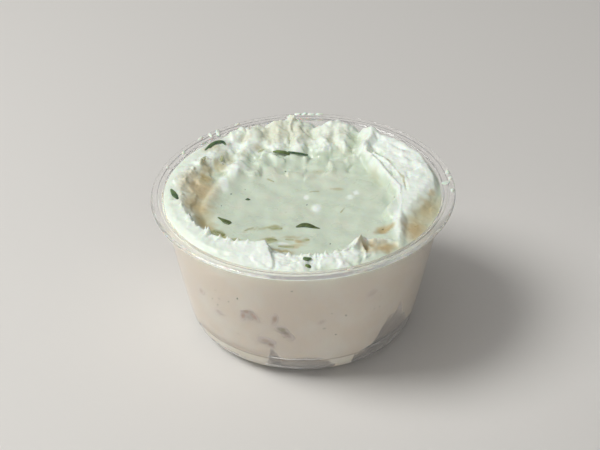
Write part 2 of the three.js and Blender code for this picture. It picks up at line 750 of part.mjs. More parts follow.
function makeDipBody() {
  const positions = [0, 0, topHeight(0, 0)];
  const ringCount = topRings.length + 1 + wallRings + creaseRings + heelRings + 2;
  for (let ring = 0; ring < ringCount; ring += 1) {
    for (let step = 0; step < dipSegments; step += 1) {
      const bearing = 360 * step / dipSegments;
      const angle = toRadians(bearing);
      const edge = sideRadius(atBearing(ridge, 'wall', bearing));
      if (ring < topRings.length) {
        const radius = topRings[ring] * edge / topReach;
        const x = radius * Math.cos(angle);
        const y = radius * Math.sin(angle);
        positions.push(x, y, topHeight(x, y));
      } else {
        const [radius, height] = undersideLine(bearing)[ring - topRings.length];
        positions.push(radius * Math.cos(angle), radius * Math.sin(angle), height);
      }
    }
  }
  const bottom = positions.length / 3;
  positions.push(0, 0, baseLift + wallThickness + clearance);
  const faces = [];
  for (let step = 0; step < dipSegments; step += 1) {
    const next = (step + 1) % dipSegments;
    faces.push(0, 1 + step, 1 + next);
    for (let ring = 0; ring + 1 < ringCount; ring += 1) {
      const here = 1 + ring * dipSegments;
      const below = here + dipSegments;
      faces.push(here + step, below + step, below + next);
      faces.push(here + step, below + next, here + next);
    }
    const last = 1 + (ringCount - 1) * dipSegments;
    faces.push(last + step, bottom, last + next);
  }
  const geometry = new THREE.BufferGeometry();
  geometry.setAttribute('position', new THREE.Float32BufferAttribute(positions, 3));
  geometry.setIndex(faces);
  return geometry;
}

// A point of a flake's centre line, at a share of its length
function alongFlake(line, share) {
  const place = share * (line.length - 1);
  const index = Math.min(Math.floor(place), line.length - 2);
  return line[index].map((value, column) => mix(value, line[index + 1][column], place - index));
}

// A thin flake that follows its centre line, pressed into the dip
function makeFlake(line) {
  const positions = [];
  const corners = [[-1, flakeProud], [1, flakeProud], [1, -flakeDepth], [-1, -flakeDepth]];
  for (let step = 0; step <= flakeSteps; step += 1) {
    const [middleX, middleY, lift, half] = alongFlake(line, step / flakeSteps);
    const [beforeX, beforeY] = alongFlake(line, Math.max(0, step - 1) / flakeSteps);
    const [afterX, afterY] = alongFlake(line, Math.min(flakeSteps, step + 1) / flakeSteps);
    const length = Math.hypot(afterX - beforeX, afterY - beforeY);
    const sideX = -(afterY - beforeY) / length;
    const sideY = (afterX - beforeX) / length;
    const dipHeight = topHeight(middleX, middleY);
    for (const [side, height] of corners) {
      const raised = height > 0 ? height + lift : height;
      positions.push(middleX + side * half * sideX, middleY + side * half * sideY, dipHeight + raised);
    }
  }
  const faces = [0, 1, 2, 0, 2, 3];
  for (let step = 0; step < flakeSteps; step += 1) {
    for (let corner = 0; corner < 4; corner += 1) {
      const a = 4 * step + corner;
      const b = 4 * step + (corner + 1) % 4;
      faces.push(a, a + 4, b + 4, a, b + 4, b);
    }
  }
  const last = 4 * flakeSteps;
  faces.push(last, last + 2, last + 1, last, last + 3, last + 2);
  const geometry = new THREE.BufferGeometry();
  geometry.setAttribute('position', new THREE.Float32BufferAttribute(positions, 3));
  geometry.setIndex(faces);
  return geometry;
}

function tidyMesh(geometry) {
  geometry.deleteAttribute('normal');
  geometry.deleteAttribute('uv');
  return mergeVertices(geometry, 1e-4);
}

function toSolid(geometry) {
  const merged = tidyMesh(geometry);
  const vertProperties = new Float32Array(merged.getAttribute('position').array);
  const triVerts = new Uint32Array(merged.getIndex().array);
  return new wasm.Manifold(new wasm.Mesh({ numProp: 3, vertProperties, triVerts }));
}

function fromSolid(solid) {
  const mesh = solid.getMesh();
  const geometry = new THREE.BufferGeometry();
  geometry.setAttribute('position', new THREE.Float32BufferAttribute(mesh.vertProperties, 3));
  geometry.setIndex(Array.from(mesh.triVerts));
  return geometry;
}

function makeDip() {
  let dip = toSolid(makeDipBody());
  for (const flake of flakes) {
    dip = dip.add(toSolid(makeFlake(flake)));
  }
  return leanWithRim(fromSolid(dip));
}

function namedMesh(name, geometry, colour, roughness) {
  geometry.computeVertexNormals();
  const material = new THREE.MeshStandardMaterial({ color: colour, roughness, metalness: 0 });
  const mesh = new THREE.Mesh(geometry, material);
  mesh.name = name;
  return mesh;
}

const portion = new THREE.Group();
portion.add(namedMesh('cup', makeCup(), 0xe9eef0, 0.08));
portion.add(namedMesh('dip', makeDip(), 0xeef0e2, 0.35));

export default portion;
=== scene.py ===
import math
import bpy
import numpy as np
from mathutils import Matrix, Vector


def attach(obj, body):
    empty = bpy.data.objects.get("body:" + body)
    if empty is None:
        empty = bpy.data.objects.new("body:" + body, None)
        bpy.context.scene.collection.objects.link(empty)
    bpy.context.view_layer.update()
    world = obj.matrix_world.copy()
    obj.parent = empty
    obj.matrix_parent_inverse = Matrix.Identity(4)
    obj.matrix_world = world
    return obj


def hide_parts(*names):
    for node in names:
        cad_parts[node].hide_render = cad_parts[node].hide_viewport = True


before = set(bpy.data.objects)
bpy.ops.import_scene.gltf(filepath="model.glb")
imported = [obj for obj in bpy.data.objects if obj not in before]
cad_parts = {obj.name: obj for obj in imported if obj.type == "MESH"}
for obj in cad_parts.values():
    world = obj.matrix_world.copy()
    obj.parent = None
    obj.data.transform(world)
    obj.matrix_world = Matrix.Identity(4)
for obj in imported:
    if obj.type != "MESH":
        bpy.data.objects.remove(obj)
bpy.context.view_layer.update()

# A clear portion cup of tzatziki: thick torn dip with a spooned hollow, herb leaves, bits of
# cucumber and dill, and smears left on the rim. Sizes in the dictionaries are millimetres,
# bearings are degrees from +X towards +Y, and heights are measured before the rim's lean.

mm = 0.001
seed = 7


def smooth(value):
    t = np.clip(value, 0.0, 1.0)
    return t * t * (3 - 2 * t)


def mix(a, b, t):
    return a + (b - a) * t


def atBearing(rows, column, bearing):
    # value of one column at each bearing, eased between the rows on either side
    starts = np.array([row[0] for row in rows], float)
    values = np.array([row[column] for row in rows], float)
    turn = np.mod(bearing, 360.0)
    index = np.searchsorted(starts, turn, side="right") - 1
    after = (index + 1) % len(rows)
    span = np.mod(starts[after] - starts[index], 360.0)
    return mix(values[index], values[after], smooth((turn - starts[index]) / span))


def latticeValue(column, row, layer):
    wave = np.sin(column * 127.1 + row * 311.7 + (layer + seed) * 74.7) * 43758.5453
    return wave - np.floor(wave)


def ripple(u, v, layer):
    # smooth gradient noise over a plane, between about -1 and 1
    column = np.floor(u)
    row = np.floor(v)
    easeU = smooth(u - column)
    easeV = smooth(v - row)
    total = 0
    for i in (0, 1):
        for j in (0, 1):
            turn = math.tau * latticeValue(column + i, row + j, layer)
            slope = (u - column - i) * np.cos(turn) + (v - row - j) * np.sin(turn)
            total = total + slope * (easeU if i else 1 - easeU) * (easeV if j else 1 - easeV)
    return 1.5 * total


def plates(u, v, layer):
    # small tilted plates with soft steps between them, as thick dip tears
    column = np.floor(u)
    row = np.floor(v)
    total = 0
    weights = 1e-9
    for i in (-1, 0, 1):
        for j in (-1, 0, 1):
            a, b = column + i, row + j
            du = u - a - 0.15 - 0.7 * latticeValue(a, b, layer)
            dv = v - b - 0.15 - 0.7 * latticeValue(a, b, layer + 1)
            turn = math.tau * latticeValue(a, b, layer + 2)
            tilt = 0.9 * (du * np.cos(turn) + dv * np.sin(turn))
            level = 1.6 * (latticeValue(a, b, layer + 3) - 0.5) + tilt
            weight = np.exp(-14 * (du * du + dv * dv))
            total = total + weight * level
            weights = weights + weight
    return total / weights


def ripple3(spots, size, layer):
    # the same noise through space, for relief that runs on round steep faces
    place = spots / size
    corner = np.floor(place)
    partX, partY, partZ = (place - corner).T
    easeX, easeY, easeZ = smooth(place - corner).T
    total = 0
    for i in (0, 1):
        for j in (0, 1):
            for k in (0, 1):
                column = corner[:, 0] + i + 57 * (corner[:, 2] + k)
                row = corner[:, 1] + j
                turn = math.tau * latticeValue(column, row, layer)
                rise = 2 * latticeValue(column, row, layer + 31) - 1
                flat = np.sqrt(1 - rise * rise)
                slope = (partX - i) * flat * np.cos(turn) + (partY - j) * flat * np.sin(turn)
                slope = slope + (partZ - k) * rise
                weight = (easeX if i else 1 - easeX) * (easeY if j else 1 - easeY)
                total = total + slope * weight * (easeZ if k else 1 - easeZ)
    return 1.6 * total


def wobble(x, y, size, layer):
    # the plane noise, its size in millimetres
    return ripple(x / size, y / size, layer)


def turned(x, y, angle):
    return x * math.cos(angle) - y * math.sin(angle), x * math.sin(angle) + y * math.cos(angle)


def patchReach(x, y, centreX, centreY, halfLength, halfWidth, bearing):
    # 0 in the middle of a turned oval patch and 1 on its edge
    turn = math.radians(bearing)
    along = ((x - centreX) * math.cos(turn) + (y - centreY) * math.sin(turn)) / halfLength
    across = ((y - centreY) * math.cos(turn) - (x - centreX) * math.sin(turn)) / halfWidth
    return np.hypot(along, across)


def deselectAll():
    if bpy.context.object and bpy.context.object.mode != "OBJECT":
        bpy.ops.object.mode_set(mode="OBJECT")
    bpy.ops.object.select_all(action="DESELECT")


def added(operator, **options):
    # the object that an operator adds, the only one selected
    deselectAll()
    operator(**options)
    return bpy.context.object


def pointsOf(shape):
    spots = np.empty(len(shape.data.vertices) * 3)
    shape.data.vertices.foreach_get("co", spots)
    return spots.reshape(-1, 3) / mm


def normalsOf(shape):
    facing = np.empty(len(shape.data.vertices) * 3)
    shape.data.vertex_normals.foreach_get("vector", facing)
    return facing.reshape(-1, 3)


def movePoints(shape, spots):
    shape.data.vertices.foreach_set("co", (spots * mm).ravel())
    shape.data.update()


def paintPoints(shape, name, values):
    # an attribute for the materials: one value for each point, or one for all
    layer = shape.data.attributes.new(name, "FLOAT", "POINT")
    spread = np.broadcast_to(values, len(shape.data.vertices))
    layer.data.foreach_set("value", np.clip(spread, 0, 1).astype(np.float32))


def spunShape(name, profile, steps):
    # a line of points is drawn out from a single vertex, then spun round the axis
    start = (profile[0][0] * mm, 0, profile[0][1] * mm)
    shape = added(bpy.ops.mesh.primitive_plane_add, size=mm, location=start)
    shape.name = name
    bpy.ops.object.transform_apply(location=True, rotation=False, scale=False)
    bpy.ops.object.mode_set(mode="EDIT")
    bpy.ops.mesh.select_all(action="SELECT")
    bpy.ops.mesh.merge(type="CENTER")
    for before, after in zip(profile, profile[1:]):
        move = ((after[0] - before[0]) * mm, 0, (after[1] - before[1]) * mm)
        bpy.ops.mesh.extrude_vertices_move(TRANSFORM_OT_translate={"value": move})
    bpy.ops.mesh.select_all(action="SELECT")
    bpy.ops.mesh.spin(steps=steps, angle=math.tau, center=(0, 0, 0), axis=(0, 0, 1))
    bpy.ops.mesh.select_all(action="SELECT")
    bpy.ops.mesh.remove_doubles(threshold=1e-6)
    bpy.ops.mesh.normals_make_consistent(inside=False)
    bpy.ops.object.mode_set(mode="OBJECT")
    bpy.ops.object.shade_smooth()
    return shape


def newMaterial(name, settings):
    material = bpy.data.materials.new(name)
    material.use_nodes = True
    tree = material.node_tree
    shader = tree.nodes["Principled BSDF"]
    for socket, value in settings.items():
        shader.inputs[socket].default_value = value
    return material, tree, shader


def addNode(tree, kind, **inputs):
    node = tree.nodes.new(kind)
    for name, value in inputs.items():
        node.inputs[name.replace("_", " ")].default_value = value
    return node


def blendColours(tree, share, first, second):
    # a colour mix; each colour is a fixed one or another node's socket
    node = tree.nodes.new("ShaderNodeMix")
    node.data_type = "RGBA"
    tree.links.new(share, node.inputs["Factor"])
    for name, colour in (("A", first), ("B", second)):
        socket = [s for s in node.inputs if s.name == name and s.type == "RGBA"][0]
        if isinstance(colour, tuple):
            socket.default_value = colour + (1,)
        else:
            tree.links.new(colour, socket)
    return [s for s in node.outputs if s.type == "RGBA"][0]


def rangeOf(tree, value, fromLow, fromHigh, toLow, toHigh):
    node = addNode(tree, "ShaderNodeMapRange", From_Min=fromLow, From_Max=fromHigh,
                   To_Min=toLow, To_Max=toHigh)
    tree.links.new(value, node.inputs["Value"])
    return node.outputs["Result"]


def noiseOf(tree, size, detail=2.0, rough=0.5, distort=0.0):
    # noise on the piece's own coordinates, its size in millimetres
    place = tree.nodes.new("ShaderNodeTexCoord")
    node = addNode(tree, "ShaderNodeTexNoise", Scale=1 / (size * mm), Detail=detail,
                   Roughness=rough, Distortion=distort)
    tree.links.new(place.outputs["Object"], node.inputs["Vector"])
    return node.outputs["Fac"]


def paintedOn(tree, name):
    node = tree.nodes.new("ShaderNodeAttribute")
    node.attribute_name = name
    return node.outputs["Fac"]


def layerColours(tree, shader, colour, layers):
    # each layer lies over the ones before, by a painted attribute or by a node's share
    for share, tone in layers:
        if isinstance(share, str):
            share = paintedOn(tree, share)
        colour = blendColours(tree, share, colour, tone)
    tree.links.new(colour, shader.inputs["Base Color"])


def addBump(tree, shader, height, depth, strength):
    node = addNode(tree, "ShaderNodeBump", Strength=strength, Distance=depth * mm)
    tree.links.new(height, node.inputs["Height"])
    tree.links.new(node.outputs["Normal"], shader.inputs["Normal"])


cup = {
    "rimRadius": 37.0,
    "height": 36.6,
    "rimRise": 0.85,         # the rim is out of level: higher at +X, lower at -X
    "wall": 0.5,
    "wallFootRadius": 28.4,
    "wallFootHeight": 6.0,
    "wallFlare": 0.228,
    "wallStraightening": 0.00125,
    # radius and height, from the standing ring to the wall's foot
    "heel": [(24.3, 0.25), (25.2, 1.0), (26.5, 2.05), (27.3, 2.85), (27.75, 3.7), (27.95, 4.8),
             (28.05, 5.75)],
    "standRadius": 23.6,
    "standWidth": 3.2,
    "baseLift": 0.8,
    "lipWidth": 1.5,
    # in from the rim or the lip, and down from the top
    "lipEdge": [(0.7, 1.0), (0.2, 0.85), (0.0, 0.5), (0.2, 0.15), (0.6, 0.0)],
    "lipGroove": [(0.0, 0.0), (0.1, 0.25), (0.4, 0.25), (0.5, 0.05)],
    "flangeDrop": 0.05,
    "wallHeights": (8.0, 34.6, 12),
    "spinSteps": 256,
    # what the transmission leaves makes the plastic a little milky
    "plastic": {"Base Color": (0.96, 0.955, 0.945, 1), "Transmission Weight": 0.89, "IOR": 1.45},
    "roughness": (0.08, 0.2),
    "lampTint": (0.97, 0.975, 0.975, 1),
}


def wallRadius(height):
    above = height - cup["wallFootHeight"]
    return cup["wallFootRadius"] + cup["wallFlare"] * above - cup["wallStraightening"] * above ** 2


def leanWithRim(x, z):
    return z * (1 + cup["rimRise"] * x / cup["rimRadius"] / cup["height"])


def heelProfile():
    foot = (cup["wallFootRadius"], cup["wallFootHeight"])
    return [(cup["standRadius"], 0.0)] + cup["heel"] + [foot]


def heelInside(distance):
    # the heel's line moved inwards, from the wall's foot down
    outer = heelProfile()
    inside = []
    for i in range(1, len(outer)):
        before, after = outer[i - 1], outer[min(i + 1, len(outer) - 1)]
        run, rise = after[0] - before[0], after[1] - before[1]
        length = math.hypot(run, rise)
        radius = outer[i][0] - distance * rise / length
        inside.append((radius, outer[i][1] + distance * run / length))
    return inside[::-1]


def cupProfile():
    top = cup["height"]
    rim = cup["rimRadius"]
    lipInner = rim - cup["lipWidth"]
    flatInner = wallRadius(top) + 0.1
    standInner = cup["standRadius"] - cup["standWidth"]
    baseTop = cup["baseLift"] + cup["wall"]
    heights = list(np.linspace(*cup["wallHeights"]))
    profile = [(0, cup["baseLift"]), (standInner - 1, cup["baseLift"]), (standInner, 0)]
    profile += heelProfile()
    profile += [(wallRadius(h), h) for h in heights]
    profile.append((wallRadius(top) + 0.3, top - cup["lipEdge"][0][1]))
    profile += [(rim - inward, top - down) for inward, down in cup["lipEdge"]]
    profile += [(lipInner - inward, top - down) for inward, down in cup["lipGroove"]]
    profile += [(flatInner, top - cup["flangeDrop"]), (flatInner - 0.35, top - 0.3)]
    profile += [(wallRadius(h) - cup["wall"], h) for h in heights[::-1]]
    profile += heelInside(cup["wall"])
    profile += [(standInner + 0.3, cup["wall"]), (standInner - 0.7, baseTop), (0, baseTop)]
    return profile


def clearPlasticMaterial():
    material, tree, shader = newMaterial("clearPlastic", cup["plastic"])
    haze = rangeOf(tree, noiseOf(tree, 9, 3), 0.3, 0.7, *cup["roughness"])
    tree.links.new(haze, shader.inputs["Roughness"])
    addBump(tree, shader, noiseOf(tree, 6, 1), 0.05, 0.5)
    # lamps shine through the thin wall onto the dip
    through = addNode(tree, "ShaderNodeBsdfTransparent", Color=cup["lampTint"])
    blend = tree.nodes.new("ShaderNodeMixShader")
    ray = tree.nodes.new("ShaderNodeLightPath")
    tree.links.new(ray.outputs["Is Shadow Ray"], blend.inputs["Fac"])
    tree.links.new(shader.outputs["BSDF"], blend.inputs[1])
    tree.links.new(through.outputs["BSDF"], blend.inputs[2])
    tree.links.new(blend.outputs["Shader"], tree.nodes["Material Output"].inputs["Surface"])
    return material


def makeCup():
    shape = spunShape("clearCup", cupProfile(), cup["spinSteps"])
    spots = pointsOf(shape)
    spots[:, 2] = leanWithRim(spots[:, 0], spots[:, 2])
    movePoints(shape, spots)
    bpy.ops.object.shade_smooth_by_angle(angle=math.radians(40))
    shape.data.materials.append(clearPlasticMaterial())
    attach(shape, "root")
    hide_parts("cup")


dip = {
    "intoWall": 0.12,        # the dip reaches this far into the clear wall, so no air shows between
    "hollowHeight": 33.5,
    "hollowLift": 0.8,
    "hollowRadius": 22.0,
    "spinSteps": 650,
    "quickSteps": 360,
    "drumHeight": 36.0,      # of the plain drum that the dip is shaped from
    "topReach": 33.4,
    "fineFrom": 19.0,        # the top's rings lie closer beyond this radius
    "sideRings": 16,
    "heelRings": 8,
    "flatRings": 3,
    "wallContactFloor": 3.7,
    "undercutLean": 0.42,
    "lumpHeight": 0.32,      # soft lumps in the hollow
    "lumpSize": 4.2,
    "shelfEdge": 8.5,        # behind this the hollow is lumpier and stands higher
    "shelfLift": 0.4,
    "shelfLumpHeight": 0.8,
    "shelfLumpSize": 3.7,
    "clumpHeight": 0.75,     # torn clumps on the ridge
    "clumpSize": 3.8,
    # how the torn forms wander: reach, size, noise layer
    "bends": [(0.9, 3.6, 21), (0.35, 1.5, 23)],
    "toothSize": 1.5,
    "toothReach": 0.9,
    "crestReach": 4.0,       # a crest has no slope of its own beyond this
    # torn relief: size, depth, share in the hollow
    "crumbs": [(2.6, 0.36, 0.03), (1.2, 0.13, 0.01), (0.65, 0.04, 0.0)],
    "whiteHeight": 34.7,     # above this the dip is white
    "creaseHeight": 5.95,
    "hollowColour": (0.645, 0.735, 0.61),
    "ridgeColour": (0.88, 0.97, 0.895),
    "shadedColour": (0.83, 0.925, 0.835),
    "warmColour": (0.74, 0.74, 0.63),
    # painted warm shade for shaded slopes, pockets and pits, partly the dip's own cream tint
    "creamAndShadeColour": (0.56, 0.46, 0.27),
    # the side's warm tint is partly painted warm reflected light
    "wallColour": (0.755, 0.685, 0.59),
    "paleWallColour": (0.80, 0.80, 0.75),
    # painted shade: a thin dark line along the crease over the heel
    "creaseShadeColour": (0.30, 0.22, 0.17),
    # painted shade in the pockets under the dip
    "pocketShadeColour": (0.27, 0.22, 0.19),
    "oliveColour": (0.37, 0.39, 0.16),
    "yogurt": {"Subsurface Weight": 0.4, "Subsurface Radius": (1.0, 0.72, 0.45),
               "Subsurface Scale": 0.0008},
}

# The ridge round the hollow: bearing, where the hollow ends, crest radius, crest height,
# height of the dip against the wall, share of the torn relief
ridgeColumns = {"hollowEnd": 1, "crest": 2, "top": 3, "wall": 4, "share": 5}
ridge = [
    (0, 23.5, 27.0, 36.0, 35.0, 0.25),
    (12, 22.5, 28.5, 36.4, 35.4, 0.3),
    (25, 22.0, 30.0, 36.5, 35.3, 0.4),
    (38, 21.5, 30.5, 36.4, 34.6, 0.5),
    (50, 20.0, 30.0, 36.0, 34.0, 0.65),
    (62, 19.5, 29.5, 35.5, 33.6, 1.0),
    (73, 19.5, 29.4, 36.2, 33.6, 1.0),
    (86, 19.5, 29.4, 36.0, 33.8, 1.0),
    (97, 19.5, 30.0, 36.8, 34.2, 1.0),
    (106, 19.5, 29.6, 36.3, 34.3, 1.0),
    (117, 20.0, 30.2, 36.7, 34.7, 0.8),
    (128, 20.5, 30.8, 36.8, 35.5, 0.8),
    (140, 21.5, 30.6, 36.9, 35.9, 0.7),
    (152, 22.0, 30.0, 37.0, 36.1, 0.65),
    (165, 22.0, 29.8, 37.2, 36.3, 0.55),
    (180, 22.0, 29.8, 37.4, 36.4, 0.45),
    (195, 24.5, 29.7, 37.5, 36.3, 0.4),
    (208, 26.8, 29.8, 37.4, 36.2, 0.35),
    (220, 26.2, 29.0, 37.3, 36.1, 0.3),
    (230, 25.0, 27.8, 37.2, 36.0, 0.2),
    (240, 23.6, 26.2, 37.0, 35.8, 0.25),
    (249, 22.4, 25.0, 36.8, 35.7, 0.35),
    (254, 23.0, 26.6, 36.4, 35.6, 0.6),
    (260, 25.0, 28.0, 36.2, 35.5, 0.8),
    (270, 25.5, 28.2, 36.2, 35.5, 0.9),
    (282, 25.0, 28.2, 36.1, 35.4, 0.9),
    (292, 23.5, 27.4, 36.1, 35.2, 0.8),
    (302, 22.5, 26.0, 35.6, 35.0, 0.5),
    (312, 22.5, 27.5, 35.3, 34.8, 0.25),
    (322, 23.0, 28.0, 35.4, 34.6, 0.12),
    (335, 23.5, 27.0, 35.2, 34.6, 0.1),
    (348, 23.5, 26.0, 35.5, 34.7, 0.15),
]

# Crest lines: slope to the left of the way they run, slope to the right, half thickness,
# raggedness, then points with their height
crests = [
    # torn masses at the back, left to right, each with its lobes towards the hollow
    (1.0, 1.1, 1.0, 0.55, [(-17.6, 25.6, 37.8), (-15.0, 27.4, 38.1), (-11.4, 28.2, 38.1),
        (-8.8, 28.4, 37.3)]),
    (0.8, 0.7, 1.3, 0.12, [(-12.6, 26.8, 38.0), (-13.6, 23.5, 36.9), (-15.4, 19.0, 35.9),
        (-16.1, 14.4, 35.3), (-17.0, 9.6, 34.8), (-18.0, 4.6, 34.2)]),
    (1.0, 1.0, 2.2, 0.4, [(-6.6, 29.3, 38.0), (-4.2, 30.2, 38.4), (-1.6, 30.0, 38.2),
        (0.6, 29.6, 37.3)]),
    (1.0, 1.0, 1.8, 0.12, [(-5.4, 29.0, 38.0), (-5.6, 25.2, 37.2), (-6.2, 22.4, 36.0)]),
    (1.0, 1.1, 1.4, 0.12, [(-1.2, 29.0, 37.8), (-1.0, 25.4, 37.0), (-1.0, 22.0, 35.9)]),
    (1.7, 1.7, 0.3, 0.1, [(-2.8, 31.6, 39.8), (-3.0, 29.8, 38.8), (-3.2, 27.0, 37.6)]),
    (1.0, 1.0, 1.8, 0.4, [(5.2, 28.6, 37.4), (8.6, 29.6, 38.4), (10.4, 28.6, 37.8)]),
    (1.0, 1.0, 1.8, 0.12, [(6.6, 28.0, 37.5), (5.9, 23.6, 37.0), (5.2, 20.8, 35.8)]),
    (1.0, 1.0, 1.2, 0.12, [(9.6, 27.6, 37.8), (10.4, 23.8, 36.8), (10.8, 20.6, 35.8)]),
    # the long ribbon down the right side: two strands at the back, one thin one from the middle
    (1.1, 1.3, 0.7, 0.25, [(17.4, 25.6, 38.6), (16.2, 21.8, 37.5), (15.4, 18.4, 36.8)]),
    (1.4, 1.8, 0.5, 0.3, [(16.4, 20.0, 37.1), (16.2, 17.0, 37.0), (17.6, 14.0, 36.8),
        (20.3, 8.8, 36.6), (22.3, 4.5, 36.4), (23.6, 1.4, 36.4)]),
    (1.0, 1.6, 0.4, 0.3, [(18.4, 17.2, 36.6), (20.3, 13.7, 36.7), (22.4, 10.1, 36.6),
        (24.4, 4.3, 36.5), (24.9, 0.4, 36.2)]),
    (1.3, 2.0, 0.35, 0.12, [(23.6, 1.6, 36.4), (23.8, -4.5, 36.4), (23.3, -9.0, 36.4)]),
    (0.85, 0.7, 0.45, 0.12, [(23.3, -8.8, 36.4), (22.9, -15.3, 36.4), (22.6, -21.4, 36.0)]),
    # the white mass outside it
    (1.0, 1.0, 0.9, 0.2, [(17.8, 25.0, 37.8), (20.2, 24.0, 37.5), (23.0, 21.4, 37.2)]),
    (0.02, 0.15, 0.5, 0.12, [(20.8, 19.0, 36.6), (23.4, 13.6, 36.6), (25.6, 8.5, 36.7),
        (26.0, 4.0, 36.6)]),
    (0.45, 0.12, 0.8, 0.12, [(31.6, 3.8, 36.9), (28.6, -0.7, 36.8), (26.0, -5.8, 36.6),
        (24.6, -8.4, 36.4)]),
    (0.8, 0.2, 0.7, 0.15, [(23.5, 21.2, 37.2), (28.2, 16.6, 37.5), (30.2, 9.9, 37.2),
        (31.8, 5.0, 37.0)]),
    # the spike at the front and the rim beside it
    (1.9, 1.6, 0.15, 0.4, [(13.7, -22.3, 38.5), (11.8, -24.4, 37.3), (9.6, -26.8, 36.7),
        (7.2, -29.5, 36.0)]),
    (2.0, 1.2, 0.15, 0.4, [(13.7, -22.3, 38.5), (14.2, -24.6, 36.8), (14.4, -28.4, 35.6)]),
    (1.2, 1.0, 0.3, 0.35, [(14.6, -21.2, 36.3), (17.0, -21.3, 36.4), (19.4, -20.8, 35.8),
        (22.4, -21.5, 35.8)]),
    # torn edge of the low front rim
    (1.2, 0.15, 0.2, 0.9, [(-7.4, -25.6, 35.9), (-4.0, -26.8, 36.2), (0.0, -27.3, 36.1),
        (3.8, -27.0, 36.2), (7.0, -26.2, 36.3), (9.4, -25.6, 36.6)]),
    # ragged inner edge of the front left ridge, ending in a steep block
    (1.8, 0.12, 0.2, 1.4, [(-22.4, 17.5, 37.0), (-26.2, 11.2, 37.2), (-28.6, 6.0, 37.3),
        (-29.3, 1.2, 37.5), (-29.6, -3.5, 37.6), (-29.0, -7.6, 37.6), (-27.7, -11.2, 37.6),
        (-26.1, -14.2, 37.6), (-24.2, -17.2, 37.5), (-21.3, -19.6, 37.5), (-17.7, -21.6, 37.3),
        (-14.5, -22.3, 37.4), (-11.5, -23.0, 37.2)]),
    (2.6, 0.15, 0.15, 0.3, [(-14.0, -22.6, 37.2), (-11.6, -23.0, 37.3), (-9.0, -22.8, 37.9),
        (-8.1, -25.0, 37.6), (-7.4, -27.9, 37.1), (-7.1, -31.0, 36.2)]),
    # torn fold on the left behind the leaf
    (0.7, 0.8, 1.0, 0.15, [(-20.6, 22.4, 37.4), (-22.4, 18.4, 37.2), (-24.9, 14.0, 37.1),
        (-27.7, 8.6, 37.2)]),
    # soft fold on the left inner slope
    (0.35, 0.5, 0.8, 0.08, [(-15.8, 15.5, 35.2), (-18.4, 9.6, 35.1), (-21.0, 3.9, 35.2),
        (-23.0, -1.5, 35.3), (-23.8, -6.0, 35.2)]),
]

# Mounds and dents: x, y, half length, half width, bearing of the length, rise
mounds = [
    (3.2, -3.6, 2.4, 1.8, 100, 0.3),
    (-3.6, -12.2, 2.6, 1.4, 10, 0.25),
    (2.6, 22.2, 2.2, 1.8, 80, 0.7),
    (15.2, 19.8, 3.0, 2.0, 100, 0.7),
    (14.3, -23.9, 2.4, 1.5, 100, -0.8),
    (18.7, -15.3, 2.6, 2.0, 40, -0.7),
    (-3.2, 24.6, 3.4, 0.8, 90, -0.7),
    # furrow along the inside of the ribbon, and holes outside it
    (15.6, 13.0, 4.8, 2.4, 117, -0.6),
    (18.6, 6.4, 5.0, 2.4, 112, -0.6),
    (21.0, -1.6, 4.6, 2.0, 96, -0.5),
    (22.4, 7.6, 1.7, 0.8, 116, -1.1),
    (18.9, 17.6, 3.0, 1.3, 118, -0.8),
    (25.1, 1.4, 2.8, 0.6, 95, -0.6),
    (25.8, 5.8, 3.0, 0.7, 96, -0.25),
    (24.2, 18.2, 3.6, 1.0, 135, -0.5),
    (25.6, 12.2, 2.2, 1.3, 130, 0.5),
    (28.6, 4.6, 2.4, 1.2, 60, 0.35),
    (29.6, 14.4, 1.9, 1.3, 120, 0.4),
    (27.4, 8.4, 2.4, 0.9, 20, -0.45),
    (28.4, 10.6, 3.4, 2.0, 120, 0.4),
    (25.0, 15.0, 3.0, 1.8, 130, 0.45),
    # lumps at the back of the hollow
    (-10.3, 15.2, 2.0, 1.6, 10, 0.5),
    (-3.0, 14.4, 2.6, 1.2, 20, 0.45),
    (6.8, 11.9, 2.2, 1.6, 170, 0.4),
    (9.3, 17.0, 2.8, 1.6, 0, 0.5),
    (12.6, 11.0, 2.6, 1.5, 160, 0.45),
    (-11.7, 10.6, 2.4, 1.5, 30, 0.4),
]

# Lower edge of the dip against the wall: bearing, height
lowerEdge = [
    (0, 5.0), (22, 3.7), (198, 3.7), (206, 5.8), (211, 4.3), (235, 4.3), (237, 3.7), (250, 3.7),
    (252, 5.0), (255, 10.6), (257.5, 8.8), (259, 6.8), (263, 6.8), (270, 7.6), (276, 7.2),
    (281, 6.4), (286, 4.4), (288, 3.7), (295, 3.7), (297, 5.9), (300, 6.6), (305, 7.3), (308, 9.6),
    (311, 13.0), (314, 15.3), (318, 15.2), (320, 17.8), (325, 12.5), (334, 8.0), (347, 6.0),
]


def sideRadius(height):
    return wallRadius(height) - cup["wall"] + dip["intoWall"]


def softMax(a, b, reach=0.3):
    gap = np.clip(0.5 + 0.5 * (a - b) / reach, 0, 1)
    return mix(b, a, gap) + reach * gap * (1 - gap)


def ridgeAt(name, bearing):
    return atBearing(ridge, ridgeColumns[name], bearing)


def lowerEdgeAt(bearing):
    return atBearing(lowerEdge, 1, bearing)


